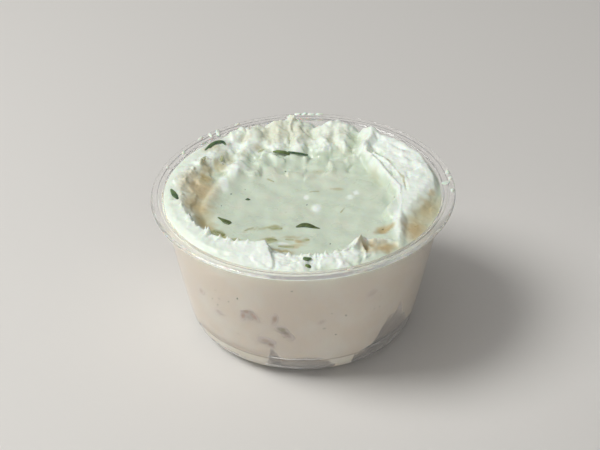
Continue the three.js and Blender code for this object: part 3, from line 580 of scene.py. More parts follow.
def crestHeight(x, y, number, leftSlope, rightSlope, thick, ragged, path):
    nearest = np.full_like(x, 1e9)
    height = np.full_like(x, -1e9)
    sideOf = np.zeros_like(x)
    torn = np.zeros_like(x)
    line = np.full_like(x, number * 3.7)
    walked = 0.0
    for (ax, ay, az), (bx, by, bz) in zip(path, path[1:]):
        run, climb = bx - ax, by - ay
        length = math.hypot(run, climb)
        t = np.clip(((x - ax) * run + (y - ay) * climb) / length ** 2, 0, 1)
        distance = np.hypot(x - ax - t * run, y - ay - t * climb)
        closer = distance < nearest
        # sharp teeth along the line, high in some stretches and low in others
        along = (walked + t * length) / dip["toothSize"]
        teeth = 0.9 - 1.9 * np.sqrt(np.abs(ripple(along, line, 8)))
        teeth = teeth + 0.5 * ripple(2.3 * along, line, 9)
        teeth *= 0.3 + 2.1 * np.abs(ripple(0.27 * along, line, 10))
        nearest = np.where(closer, distance, nearest)
        height = np.where(closer, mix(az, bz, t), height)
        torn = np.where(closer, ragged * teeth, torn)
        sideOf = np.where(closer, ((y - ay) * run - (x - ax) * climb) / length, sideOf)
        walked += length
    # beyond the ends of the line the two slopes blend
    slope = mix(rightSlope, leftSlope, smooth(0.5 + 0.5 * sideOf / np.maximum(nearest, 1e-6)))
    fallen = slope * (np.hypot(nearest, thick) - thick)
    fallen = fallen + 3 * smooth((nearest - dip["crestReach"]) / 3)
    return height + torn * np.exp(-nearest / dip["toothReach"]) - fallen


def moundRise(x, y):
    total = np.zeros_like(x)
    for *patch, rise in mounds:
        total += rise * smooth(1 - patchReach(x, y, *patch))
    return total


def topHeight(x, y):
    radius = np.hypot(x, y)
    bearing = np.degrees(np.arctan2(y, x))
    inner, crest, top, wall, share = (ridgeAt(name, bearing) for name in ridgeColumns)
    edge = sideRadius(wall)
    onRidge = smooth((radius - inner) / 4)
    holdBack = smooth((edge - radius) / 1.6)
    bowl = np.minimum(1, radius / dip["hollowRadius"]) ** 2
    hollow = dip["hollowHeight"] + dip["hollowLift"] * bowl
    lumps = dip["lumpHeight"] * (wobble(x, y, dip["lumpSize"], 1) + 0.2 * wobble(x, y, 1.9, 4))
    shelf = smooth((y - dip["shelfEdge"] + 1.6 * wobble(x, y, 4, 31)) / 3.5)
    size = dip["shelfLumpSize"]
    bentX = x + 1.1 * wobble(x, y, 2.9, 35)
    bentY = y + 1.1 * wobble(x, y, 2.9, 36)
    lumps = lumps + shelf * (dip["shelfLift"] + 0.12 * wobble(x, y, 1.8, 34)
                             + dip["shelfLumpHeight"] * plates(bentX / size, bentY / size, 33))
    climb = np.clip((radius - inner + 1) / (crest - inner + 1), 0, 1) ** 1.5
    fall = np.clip((radius - crest) / (edge - crest), 0, 1)
    base = np.where(radius < crest, mix(hollow, top, climb), mix(top, wall, fall ** 1.6))
    # the torn forms wander, and most where the relief is strong
    bent = onRidge * (0.35 + 0.65 * share)
    warpX, warpY = x, y
    for reach, size, layer in dip["bends"]:
        warpX = warpX + reach * wobble(x, y, size, layer) * bent
        warpY = warpY + reach * wobble(x, y, size, layer + 1) * bent
    clumps = plates(warpX / dip["clumpSize"], warpY / dip["clumpSize"], 60)
    torn = dip["clumpHeight"] * share * clumps * onRidge
    height = base + 0.6 * torn
    for number, line in enumerate(crests):
        height = softMax(height, crestHeight(warpX, warpY, number, *line))
    height = mix(base, height + 0.4 * torn, holdBack)
    return height + lumps * (1 - onRidge) + moundRise(x, y) * holdBack


def underside(bearing, along):
    # radius and height of the dip's side and underside, for rings counted from the top edge
    wall = ridgeAt("wall", bearing)
    low = lowerEdgeAt(bearing)
    foot = cup["wallFootHeight"]
    heel = np.array(heelInside(cup["wall"] - dip["intoWall"]))
    below = heel[heel[:, 1] < dip["wallContactFloor"]]
    baseTop = cup["baseLift"] + cup["wall"] - 0.05

    def radiusAt(height):
        onHeel = np.interp(height, heel[::-1, 1], heel[::-1, 0])
        return np.where(height < foot, onHeel, sideRadius(height))

    # the last rings of the side are kept for the crease over the heel
    turning = np.maximum(low + 0.5, foot + 0.4)
    share = np.clip(along / dip["sideRings"], 0, 1)
    onWall = mix(wall, turning, 1.5 * share)
    sideHeight = np.where(share < 2 / 3, onWall, mix(turning, low, 3 * share - 2))
    # below it the dip follows the heel, or leans back where the heel is unfilled
    u = np.clip((along - dip["sideRings"]) / dip["heelRings"], 0, 1)
    unfilled = np.clip((low - dip["wallContactFloor"]) / 1.5, 0, 1)
    place = u * (len(below) - 1)
    followRadius = np.interp(place, np.arange(len(below)), below[:, 0])
    followHeight = np.interp(place, np.arange(len(below)), below[:, 1])
    backRadius = radiusAt(low) - (low - baseTop) * dip["undercutLean"] * u - 1.6 * u ** 3
    onSide = along <= dip["sideRings"]
    radius = np.where(onSide, radiusAt(sideHeight), mix(followRadius, backRadius, unfilled))
    height = np.where(onSide, sideHeight, mix(followHeight, mix(low, baseTop, u), unfilled))
    # the flat base closes towards the axis
    beyond = along - dip["sideRings"] - dip["heelRings"]
    flatStart = np.minimum(radius - 0.6, cup["standRadius"] - cup["standWidth"] - 1.2)
    radius = np.where(beyond > 0, flatStart * (1 - (beyond - 1) / 2), radius)
    height = np.where(beyond > 0, baseTop, height)
    return radius, height


# Tinted patches on the dip: x, y, half length, half width, bearing, cream share, olive share; the
# cream is mostly painted shade
# Painted shade: the warm beige on the shaded inner slope at the left, under the leaf at the back
# left, and on the shaded slope and pockets at the right front; the olive under the torn front left
# edge is painted shade over cucumber skin, while the small olive and orange spots are cucumber in
# the dip
tintAndShadePatches = [
    (-25.4, 3.0, 9.0, 6.2, 98, 0.9, 0.0),
    (-25.6, -4.6, 7.5, 4.8, 108, 0.9, 0.1),
    (-23.6, -11.2, 5.0, 3.0, 122, 0.95, 0.25),
    (-24.5, 14.4, 1.2, 0.8, 0, 0.2, 0.3),
    (-25.6, 12.6, 0.8, 0.6, 0, 0.0, 0.8),
    (-24.0, 11.2, 3.2, 2.2, 90, 0.7, 0.2),
    (-24.2, 7.6, 3.6, 2.6, 100, 1.0, 0.25),
    (-20.8, 13.2, 3.4, 2.4, 105, 0.6, 0.3),
    (-23.0, 19.8, 3.4, 1.6, 20, 0.45, 0.15),
    (-15.8, 18.8, 2.4, 2.0, 0, 0.25, 0.1),
    (-20.4, -15.6, 4.2, 2.4, 138, 0.8, 1.0),
    (-15.8, -18.4, 3.0, 1.3, 150, 0.5, 0.7),
    (-9.6, -12.9, 1.6, 0.8, 170, 0.3, 0.4),
    (-6.9, -12.2, 2.6, 1.3, 170, 0.6, 0.8),
    (-7.8, -17.8, 2.6, 1.6, 175, 0.6, 0.95),
    (-12.6, -13.0, 2.2, 0.9, 20, 0.35, 0.25),
    (-0.4, -18.5, 2.2, 1.5, 0, 1.0, 0.15),
    (-2.6, -20.4, 4.0, 1.1, 2, 0.6, 0.1),
    (-4.6, -23.0, 3.4, 1.0, 178, 0.9, 0.35),
    (-2.6, -16.4, 3.0, 0.9, 5, 0.5, 0.2),
    (8.4, 4.6, 2.2, 0.8, 0, 0.4, 0.25),
    (19.2, -15.0, 3.2, 2.3, 30, 1.0, 0.1),
    (14.6, -24.2, 3.0, 1.9, 100, 0.9, 0.0),
    (16.2, -22.6, 1.8, 1.3, 0, 0.9, 0.0),
    (19.0, -23.6, 4.5, 2.6, 20, 1.0, 0.0),
    (26.6, -15.5, 6.5, 4.2, 80, 1.0, 0.0),
    (29.8, -7.5, 6.5, 3.0, 68, 0.8, 0.05),
    (31.2, -1.6, 2.0, 1.2, 60, 0.7, 0.0),
    (29.8, -8.6, 9.5, 4.2, 66, 0.6, 0.15),
    (-14.5, 24.5, 2.0, 1.4, 30, 0.5, 0.0),
    (-5.0, 27.0, 14.0, 5.0, 178, 0.3, 0.14),
    (9.0, 26.0, 8.0, 4.5, 170, 0.16, 0.06),
    (-19.5, 17.0, 4.5, 2.6, 120, 0.35, 0.1),
    (-11.6, 21.9, 2.2, 1.2, 20, 0.5, 0.0),
    (-8.0, 24.4, 3.4, 1.8, 0, 0.35, 0.15),
    (-2.6, 24.8, 4.5, 0.8, 92, 0.35, 0.1),
    (11.3, 21.6, 2.2, 1.2, 0, 0.2, 0.0),
    (3.6, 12.6, 2.4, 1.2, 10, 0.25, 0.15),
    (18.0, 9.0, 5.0, 1.3, 112, 0.2, 0.15),
    (20.0, 14.6, 4.5, 0.5, 118, 0.5, 0.2),
    (24.4, 4.6, 4.5, 0.5, 103, 0.5, 0.2),
    (-31.4, -4.0, 9.0, 3.0, 100, 0.1, 0.0),
]

# Whiter patches: x, y, half length, half width, bearing; most are painted light where the ribbon,
# the white mass and the front block face the lamp, one is a painted highlight on the mound in the
# hollow, the rest are white lumps and folds of dip
whiteAndLitPatches = [
    (18.5, 11.8, 6.5, 1.4, 116),
    (22.8, 3.0, 3.0, 1.2, 112),
    (23.3, -4.5, 7.0, 0.8, 92),
    (22.6, -14.0, 9.0, 1.5, 92),
    (27.0, 7.0, 8.0, 4.5, 110),
    (-9.5, -26.0, 3.0, 2.4, 100),
    (3.3, -3.4, 2.1, 1.4, 90),
    (-19.6, 6.4, 4.4, 1.5, 98),
    (0.8, 1.3, 0.8, 1.2, 0),
    (11.5, 0.8, 1.0, 1.4, 0),
    (13.0, 2.6, 0.7, 1.1, 0),
    (-4.6, -19.6, 1.6, 1.0, 0),
]


def tintAndShadeShares(x, y):
    creamAndShade = np.zeros_like(x)
    olive = np.zeros_like(x)
    bentX = x + 0.8 * wobble(x, y, 1.7, 41)
    bentY = y + 0.8 * wobble(x, y, 1.7, 42)
    for *patch, creamAndShadeShare, oliveShare in tintAndShadePatches:
        inside = smooth(1.15 - patchReach(bentX, bentY, *patch))
        creamAndShade = np.maximum(creamAndShade, creamAndShadeShare * inside)
        olive = np.maximum(olive, oliveShare * inside)
    return creamAndShade, olive


def whiteAndLitShare(x, y, turn, spread, height):
    start = dip["whiteHeight"] + 0.6 * smooth(np.cos(turn))
    white = smooth((height - start + 0.5 * wobble(x, y, 3.3, 96)) / 1.2)
    for patch in whiteAndLitPatches:
        white = np.maximum(white, smooth(1.8 * (1.1 - patchReach(x, y, *patch))))
    # painted shade: less white and greener towards the wall on the left, toning down the lamp's
    # light on the outer slope there
    return white * (1 - 0.35 * smooth((spread - 29) / 3) * smooth((-x - 12) / 10))


def yogurtMaterial():
    material, tree, shader = newMaterial("thickYogurt", dip["yogurt"])
    white = paintedOn(tree, "white")
    paler = tuple(min(1, 1.08 * c) for c in dip["hollowColour"])
    mottle = rangeOf(tree, noiseOf(tree, 5, 4, 0.6), 0.35, 0.7, 0, 0.7)
    warm = rangeOf(tree, noiseOf(tree, 7, 3, 0.6, 0.6), 0.5, 0.75, 0, 0.6)
    hollow = blendColours(tree, mottle, dip["hollowColour"], paler)
    hollow = blendColours(tree, warm, hollow, dip["warmColour"])
    ridgeTone = blendColours(tree, mottle, dip["ridgeColour"], dip["shadedColour"])
    # the side seen through the clear wall, partly painted warm reflected light, its painted dark
    # line at the crease over the heel and the painted shade in the pockets
    cloudy = rangeOf(tree, noiseOf(tree, 11, 3, 0.6), 0.45, 0.75, 0, 0.7)
    side = blendColours(tree, cloudy, dip["wallColour"], dip["paleWallColour"])
    fold = addNode(tree, "ShaderNodeMath")
    fold.operation = "PINGPONG"
    fold.inputs[1].default_value = 0.5
    tree.links.new(paintedOn(tree, "aboveCrease"), fold.inputs[0])
    # painted shade: a thin dark line along the crease
    crease = rangeOf(tree, fold.outputs[0], 0.46, 0.5, 0, 0.75)
    layerColours(tree, shader, hollow, [
        (white, ridgeTone), ("creamAndShade", dip["creamAndShadeColour"]), ("olive", dip["oliveColour"]),
        ("wall", side), (crease, dip["creaseShadeColour"]), ("pocketShade", dip["pocketShadeColour"])])
    wet = rangeOf(tree, noiseOf(tree, 4, 3), 0.35, 0.65, 0.24, 0.42)
    dry = rangeOf(tree, noiseOf(tree, 2, 3), 0.35, 0.65, 0.42, 0.6)
    rough = tree.nodes.new("ShaderNodeMix")
    tree.links.new(white, rough.inputs["Factor"])
    tree.links.new(wet, rough.inputs["A"])
    tree.links.new(dry, rough.inputs["B"])
    tree.links.new(rough.outputs["Result"], shader.inputs["Roughness"])
    addBump(tree, shader, noiseOf(tree, 0.9, 4, 0.6), 0.12, 0.45)
    return material


def tornRelief(shape, onRidge, share):
    # fine relief along the normals: strong on the ridge, faint in the hollow
    spots = pointsOf(shape)
    facing = normalsOf(shape)
    x, y, z = spots.T
    rough = onRidge * mix(0.1, 0.75, share)
    push = rough * (0.26 * plates(x / 2.1 + 0.4 * z, y / 2.1, 70)
                    + 0.12 * plates(x / 1.05, y / 1.05 + 0.6 * z, 80))
    push += 0.2 * onRidge * (1 - 0.6 * share) * ripple3(spots, 3.2, 47)
    patchy = 0.3 + 1.8 * np.abs(ripple3(spots, 6.0, 51))
    # strands drawn out towards the wall, faded where the bearing turns over
    bearing = np.arctan2(y, x)
    strands = np.abs(ripple(bearing * 25, np.hypot(x, y) / 6, 97))
    atFront = smooth(1.4 - np.abs(bearing + 1.45) / 0.35)
    drawn = (0.04 + 0.42 * atFront) * smooth((math.pi - np.abs(bearing)) / 0.3)
    push += rough * drawn * (0.3 - strands) * patchy
    for number, (size, depth, faint) in enumerate(dip["crumbs"]):
        folds = np.abs(ripple3(spots, size, 52 + number)) - 0.3
        push += depth * folds * np.maximum(rough, faint) * patchy
    movePoints(shape, spots + facing * push[:, None])
    return push


def dipDrum():
    # a plain drum first: the lid's radii are true, the side and the base are spread evenly
    top, reach, fineFrom = dip["drumHeight"], dip["topReach"], dip["fineFrom"]
    under = dip["sideRings"] + dip["heelRings"] + dip["flatRings"]
    radii = list(np.linspace(0, fineFrom, 34, endpoint=False))
    radii += list(np.linspace(fineFrom, reach, 90))
    profile = [(r, top) for r in radii]
    profile += [(reach - 0.1 * i, top - i) for i in range(1, under)]
    profile.append((0, top - under))
    return spunShape("tzatziki", profile, dip["spinSteps"])


def makeDip():
    shape = dipDrum()
    spots = pointsOf(shape)
    radius = np.hypot(spots[:, 0], spots[:, 1])
    bearing = np.degrees(np.arctan2(spots[:, 1], spots[:, 0]))
    turn = np.radians(bearing)
    along = np.round(dip["drumHeight"] - spots[:, 2])
    rimHeight = ridgeAt("wall", bearing)
    share = ridgeAt("share", bearing)
    edge = sideRadius(rimHeight)
    spread = radius * edge / dip["topReach"]
    x, y = spread * np.cos(turn), spread * np.sin(turn)
    lowRadius, lowHeight = underside(bearing, along)
    lowRadius = np.where(along >= along.max(), 0, lowRadius)
    onTop = along == 0
    movePoints(shape, np.column_stack([
        np.where(onTop, x, lowRadius * np.cos(turn)),
        np.where(onTop, y, lowRadius * np.sin(turn)),
        np.where(onTop, topHeight(x, y), lowHeight)]))
    onRidge = spread - ridgeAt("hollowEnd", bearing) + 1.5 + 2.5 * wobble(x, y, 4.5, 95)
    onRidge = smooth(onRidge / 5.5)
    free = np.where(onTop, smooth((edge - spread) / 1.2), 0)
    push = tornRelief(shape, onRidge * free, share * free)
    spots = pointsOf(shape)
    height = spots[:, 2]
    # the top's tints and painted shade, with a little painted warm shade in the pits of the torn
    # relief
    white = whiteAndLitShare(x, y, turn, spread, height)
    creamAndShade, olive = tintAndShadeShares(x, y)
    pitShade = smooth(-push / 0.25) * 0.3 * share ** 2
    creamAndShade = np.maximum(creamAndShade, pitShade * onRidge)
    # the side's tint comes in below the rim and is partly painted warm reflected light that grows
    # lower down, and its pockets, given painted shade, are where the heel is unfilled
    # painted light: the band over the heel is whiter and less tinted, as if lit from the floor
    inHeel = smooth((cup["wallFootHeight"] + 0.2 - height) / 0.4)
    belowRim = smooth((rimHeight - height) / 7)
    unfilled = np.clip((lowerEdgeAt(bearing) - dip["wallContactFloor"]) / 1.5, 0, 1)
    beneath = smooth((along - dip["sideRings"] - 0.4) / 2)
    beneath = beneath * (along < dip["sideRings"] + dip["heelRings"])
    for name, top, side in (
            ("white", white, 0.6 + 0.4 * inHeel),
            ("creamAndShade", creamAndShade, 0.25 - 0.2 * inHeel),
            ("olive", olive, 0),
            ("wall", 0, mix(0.5, 1, belowRim) - 0.25 * inHeel),
            ("pocketShade", 0, 0.8 * unfilled * beneath),
            ("aboveCrease", 1, 0.5 + (height - dip["creaseHeight"]) / 8)):  # a half at the crease
        paintPoints(shape, name, np.where(onTop, top, side))
    spots[:, 2] = leanWithRim(spots[:, 0], height)
    movePoints(shape, spots)
    shape.data.materials.append(yogurtMaterial())
    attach(shape, "root")
    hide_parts("dip")
    return shape


def finishPiece(shape, material):
    shape.data.materials.append(material)
    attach(shape, "root")


def joinPieces(name, parts):
    deselectAll()
    for part in parts:
        part.select_set(True)
    bpy.context.view_layer.objects.active = parts[0]
    bpy.ops.object.join()
    parts[0].name = name
    return parts[0]


def surfaceHeight(shape, x, y):
    # looked for from well above the highest tip
    spot = shape.ray_cast((x * mm, y * mm, 60 * mm), (0, 0, -1))[1]
    return spot.z / mm


def thinStrip(length, halfWidth, stepsAlong, stepsAcross, blunt):
    # a flat strip along x, drawn in to both ends
    strip = added(bpy.ops.mesh.primitive_grid_add, x_subdivisions=stepsAlong,
                  y_subdivisions=stepsAcross, size=mm)
    spots = pointsOf(strip)
    along = np.clip(spots[:, 0] + 0.5, 0, 1)
    across = 2 * spots[:, 1]
    narrowed = np.maximum(np.sin(math.pi * (0.04 + 0.92 * along)), 0.05) ** blunt
    spots[:, 0] = (along - 0.5) * length
    spots[:, 1] = across * narrowed * halfWidth
    movePoints(strip, spots)
    return strip, along, across


def thicken(strip, thickness):
    bpy.ops.object.modifier_add(type="SOLIDIFY")
    strip.modifiers["Solidify"].thickness = thickness * mm
    strip.modifiers["Solidify"].offset = 0
    bpy.ops.object.modifier_apply(modifier="Solidify")
    bpy.ops.object.modifier_add(type="SUBSURF")
    strip.modifiers["Subdivision"].levels = 1
    bpy.ops.object.modifier_apply(modifier="Subdivision")
    bpy.ops.object.shade_smooth()


def layOnDip(strip, dipShape, x, y, bearing, lifts):
    # the strip follows the dip's general slope along its length, raised by the given lifts
    spots = pointsOf(strip)
    turn = math.radians(bearing)
    overX, overY = turned(spots[:, 0], spots[:, 1], turn)
    stations = np.linspace(spots[:, 0].min(), spots[:, 0].max(), 7)
    heights = [surfaceHeight(dipShape, x + s * math.cos(turn), y + s * math.sin(turn))
               for s in stations]
    line = np.polyfit(stations, heights, 2)
    level = np.polyval(line, spots[:, 0]) + max(heights - np.polyval(line, stations)) * 0.7
    movePoints(strip, np.column_stack([x + overX, y + overY, level + lifts]))


def wrapped(bearing, around, up, radius):
    # points wrapped round the cup, with the rim's lean
    angle = math.radians(bearing) + around
    x, y = radius * np.cos(angle), radius * np.sin(angle)
    return np.column_stack([x, y, leanWithRim(x, up)])


def layOnWall(strip, bearing, height, turn):
    # a flat strip on the dip's side, where it shows through the clear wall
    spots = pointsOf(strip)
    around, up = turned(spots[:, 0], spots[:, 1], math.radians(turn))
    radius = sideRadius(height + up)
    movePoints(strip, wrapped(bearing, around / radius, height + up, radius))


herbs = {
    "thickness": 0.24,
    "steps": 18,
    "darkGreen": (0.028, 0.082, 0.056),
    "oliveGreen": (0.062, 0.080, 0.026),
    "lightGreen": (0.26, 0.38, 0.12),
    "shine": {"Roughness": 0.36, "Subsurface Weight": 0.1, "Subsurface Scale": 0.0004},
}

# Herb leaves: pale share at the start, olive share, then the centre line as x, y, lift over the
# dip and half width
leaves = [
    (0.55, 0.8, [(-7.6, 19.8, 0.1, 0.2), (-6.2, 20.0, 0.3, 0.6), (-4.6, 19.8, 0.3, 0.65),
        (-3.3, 19.2, 0.1, 0.4)]),
    (0.0, 0.1, [(-3.8, 19.3, 0.15, 0.3), (-2.2, 19.2, 0.2, 0.45), (-0.4, 19.1, 0.2, 0.42),
        (1.3, 18.9, 0.1, 0.2)]),
    (0.1, 0.2, [(-24.7, 19.0, -0.1, 0.15), (-23.4, 20.6, 0.25, 0.55), (-21.6, 21.9, 0.45, 0.65),
        (-20.2, 21.9, 0.25, 0.5), (-19.6, 21.0, -0.2, 0.2)]),
    (0.3, 0.3, [(-32.1, 0.8, 0.0, 0.2), (-31.5, -1.2, 0.2, 0.65), (-30.9, -2.8, 0.2, 0.75),
        (-30.1, -4.5, 0.0, 0.2)]),
    (0.2, 0.9, [(-20.6, -7.8, -0.15, 0.2), (-19.5, -8.9, 0.05, 0.35), (-18.3, -10.0, 0.25, 0.85),
        (-17.4, -10.9, 0.15, 0.6)]),
    (0.0, 0.9, [(-1.8, -12.1, -0.1, 0.15), (-0.4, -11.4, 0.25, 0.75), (1.1, -11.5, 0.35, 0.85),
        (2.5, -12.4, 0.15, 0.6), (4.1, -12.9, -0.1, 0.15)]),
    (0.3, 0.3, [(0.0, -28.6, 0.0, 0.45), (0.9, -28.9, 0.2, 0.8), (1.9, -28.6, 0.1, 0.35)]),
    (0.6, 0.9, [(0.5, -30.9, -0.05, 0.4), (1.2, -31.0, 0.1, 0.7), (1.8, -31.2, -0.05, 0.3)]),
    (0.0, 0.2, [(-14.0, 0.2, -0.05, 0.15), (-13.5, 0.4, 0.12, 0.5), (-12.9, 0.3, -0.05, 0.15)]),
]

# Dark specks: on top x, y, radius; against the wall bearing, height, radius
topSpecks = [
    (-17.6, 2.2, 0.22), (-19.8, -3.0, 0.18), (-25.0, 12.2, 0.25), (-20.0, 14.2, 0.2),
    (6.4, -19.5, 0.2),
]
wallSpecks = [
    (236.3, 22.5, 0.25), (241.3, 24.7, 0.3), (282.3, 22.0, 0.2), (288.8, 20.5, 0.3),
    (302.8, 19.9, 0.2), (305.5, 19.9, 0.22), (279.3, 17.2, 0.3), (285.0, 14.5, 0.2),
    (265.5, 30.0, 0.22), (229.3, 19.6, 0.22),
]
strewn = {
    "onTop": 7,
    "onWall": 46,
    "reach": 30,
    "heights": (9, 32),
    "radii": (0.08, 0.2),
    "flatness": (1.3, 0.8, 0.35),
    "veil": (0.2, 0.7),      # how far the dip hides the ones against the wall
}


def makeSpecks(dipShape):
    draw = np.random.default_rng(seed)
    tops = list(topSpecks)
    walls = list(wallSpecks)
    for _ in range(strewn["onTop"]):
        reach, turn = strewn["reach"] * math.sqrt(draw.random()), math.tau * draw.random()
        size = draw.uniform(*strewn["radii"])
        tops.append((reach * math.cos(turn), reach * math.sin(turn), size))
    for _ in range(strewn["onWall"]):
        size = draw.uniform(*strewn["radii"])
        walls.append((draw.uniform(0, 360), draw.uniform(*strewn["heights"]), size))
    first = added(bpy.ops.mesh.primitive_ico_sphere_add, subdivisions=2, radius=mm)
    bpy.ops.object.shade_smooth()
    ball = pointsOf(first)
    ball *= (1 + 0.3 * ripple3(ball, 1.1, 61))[:, None]
    paintPoints(first, "olive", 0.5)
    paintPoints(first, "pale", 0)
    parts = []
    for place in tops + walls:
        part = first.copy()
        part.data = first.data.copy()
        bpy.context.collection.objects.link(part)
        parts.append(part)
        spin = draw.uniform(0, math.tau)
        size = ball * place[2] * np.array(strewn["flatness"])
        around, up = turned(size[:, 0], size[:, 1], spin)
        if len(parts) <= len(tops):
            x, y = place[0], place[1]
            flat = np.column_stack([around, up, size[:, 2]])
            movePoints(part, flat + [x, y, surfaceHeight(dipShape, x, y)])
            paintPoints(part, "veil", 0)
        else:
            up = place[1] + up
            radius = sideRadius(up) + 0.3 * size[:, 2]
            movePoints(part, wrapped(place[0], around / radius, up, radius))
            paintPoints(part, "veil", draw.uniform(*strewn["veil"]))
    bpy.data.objects.remove(first)
    finishPiece(joinPieces("herbSpecks", parts), herbMaterial())


def herbMaterial():
    material, tree, shader = newMaterial("choppedHerb", herbs["shine"])
    vein = rangeOf(tree, noiseOf(tree, 0.9, 3, 0.6), 0.4, 0.7, 0, 0.4)
    layerColours(tree, shader, herbs["darkGreen"], [
        ("olive", herbs["oliveGreen"]), (vein, herbs["lightGreen"]),
        ("pale", herbs["lightGreen"]), ("veil", dip["wallColour"])])
    addBump(tree, shader, noiseOf(tree, 0.5, 3), 0.08, 0.6)
    return material


def makeHerbs(dipShape):
    parts = []
    for number, (pale, olive, line) in enumerate(leaves):
        strip, along, across = thinStrip(1, 1, herbs["steps"], 4, 0)
        paintPoints(strip, "pale", pale * smooth((0.8 - along) / 0.6))
        paintPoints(strip, "olive", olive)
        eased = np.linspace(0, 1, herbs["steps"] + 1)
        given = np.linspace(0, 1, len(line))
        points = np.array([np.interp(eased, given, column) for column in zip(*line)])
        for _ in range(3):
            points[:, 1:-1] = (points[:, :-2] + 2 * points[:, 1:-1] + points[:, 2:]) / 4
        heights = np.array([surfaceHeight(dipShape, *spot) for spot in points[:2].T])
        # short leaves lie straight, long ones follow the dip's curve
        level = np.polyval(np.polyfit(eased, heights, 2 if len(line) > 4 else 1), eased)
        heights = level + 0.7 * max(heights - level)
        run, climb = np.gradient(points[0]), np.gradient(points[1])
        length = np.hypot(run, climb)
        x, y, lift, half, base, sideX, sideY = (
            np.interp(along, eased, row)
            for row in (*points, heights, -climb / length, run / length))
        torn = 1 + 0.3 * ripple(along * 5, across + number * 3.1, 98)
        reach = across * half * torn
        height = base + lift - 0.25 * across ** 2 * half
        movePoints(strip, np.column_stack([x + reach * sideX, y + reach * sideY, height]))
        thicken(strip, herbs["thickness"])
        parts.append(strip)
    finishPiece(joinPieces("herbLeaves", parts), herbMaterial())


shreds = {
    "thickness": 0.5,
    "flesh": (0.50, 0.53, 0.31),
    "skin": (0.19, 0.21, 0.07),
    "brown": (0.50, 0.29, 0.18),
    "wallThickness": 0.12,
    "shine": {"Roughness": 0.3, "Subsurface Weight": 0.4, "Subsurface Radius": (0.9, 1.0, 0.5),
              "Subsurface Scale": 0.001},
}

# Bits of cucumber lying in the dip: x, y, length, half width, bearing, how far sunk, skin share
surfaceShreds = [
    (-24.6, 14.3, 2.0, 0.5, 60, 0.12, 0.5),
    (-19.9, -14.6, 3.4, 0.7, 145, 0.15, 0.9),
    (-21.0, -16.2, 3.0, 0.5, 140, 0.05, 1.0),
    (-16.0, -18.0, 3.2, 0.7, 160, 0.12, 0.8),
    (-6.6, -12.4, 3.6, 0.6, 172, 0.16, 0.5),
    (-7.4, -18.3, 2.8, 0.8, 20, 0.12, 0.7),
    (-3.2, -17.5, 2.2, 0.5, 170, 0.18, 0.2),
    (0.6, -18.4, 2.0, 0.6, 15, 0.14, 0.3),
    (-4.0, -20.9, 4.0, 0.5, 3, 0.14, 0.4),
    (-12.8, -12.9, 2.6, 0.5, 30, 0.20, 0.3),
    (2.8, 3.6, 2.6, 0.4, 8, 0.20, 0.1),
    (9.6, -5.0, 2.4, 0.4, 60, 0.22, 0.1),
    (-20.5, 16.0, 2.2, 0.5, 80, 0.12, 0.2),
    (-10.6, 21.0, 2.0, 0.5, 30, 0.10, 0.2),
    (-8.0, 9.0, 2.4, 0.45, 140, 0.20, 0.1),
]

# Bits pressed against the clear wall: bearing, height, length, half width, turn, brown share,
# veil of dip over them
wallBits = [
    (242.8, 19.2, 3.6, 0.85, 72, 1.0, 0.25),
    (245.0, 21.1, 3.6, 0.75, 18, 0.9, 0.3),
    (248.2, 20.0, 4.2, 0.85, 124, 1.0, 0.3),
    (245.8, 19.3, 2.4, 1.1, 60, 0.2, 0.75),
    (257.4, 20.1, 4.4, 0.95, 76, 0.8, 0.25),
    (260.4, 16.8, 3.8, 1.3, -28, 0.25, 0.2),
    (263.2, 15.0, 4.0, 1.1, -44, 0.7, 0.45),
    (253.0, 12.2, 4.6, 1.3, -8, 0.9, 0.6),
    (255.0, 11.0, 2.6, 0.9, -62, 1.0, 0.4),
    (219.5, 21.1, 2.8, 1.1, 40, 0.6, 0.7),
    (229.0, 17.2, 2.2, 0.9, 10, 0.5, 0.75),
    (278.0, 19.5, 2.4, 0.8, 30, 0.5, 0.75),
    (300.0, 25.5, 3.2, 1.1, 15, 0.6, 0.75),
    (20.0, 17.0, 3.4, 0.9, 30, 0.3, 0.45),
    (48.0, 22.0, 2.8, 0.9, -50, 0.8, 0.45),
    (75.0, 13.0, 3.6, 0.9, 70, 0.3, 0.4),
    (108.0, 19.5, 2.6, 0.9, -20, 0.8, 0.4),
    (131.0, 11.5, 3.2, 0.9, 10, 0.3, 0.45),
    (160.0, 21.0, 3.0, 0.9, -65, 0.8, 0.4),
    (183.0, 14.0, 3.0, 1.0, 35, 0.6, 0.5),
]


def cucumberMaterial():
    material, tree, shader = newMaterial("cucumber", shreds["shine"])
    blotch = rangeOf(tree, noiseOf(tree, 1.2, 3), 0.4, 0.7, 0, 0.4)
    layerColours(tree, shader, shreds["flesh"], [
        ("skin", shreds["skin"]), (blotch, dip["hollowColour"]),
        ("brown", shreds["brown"]), ("veil", dip["wallColour"])])
    return material


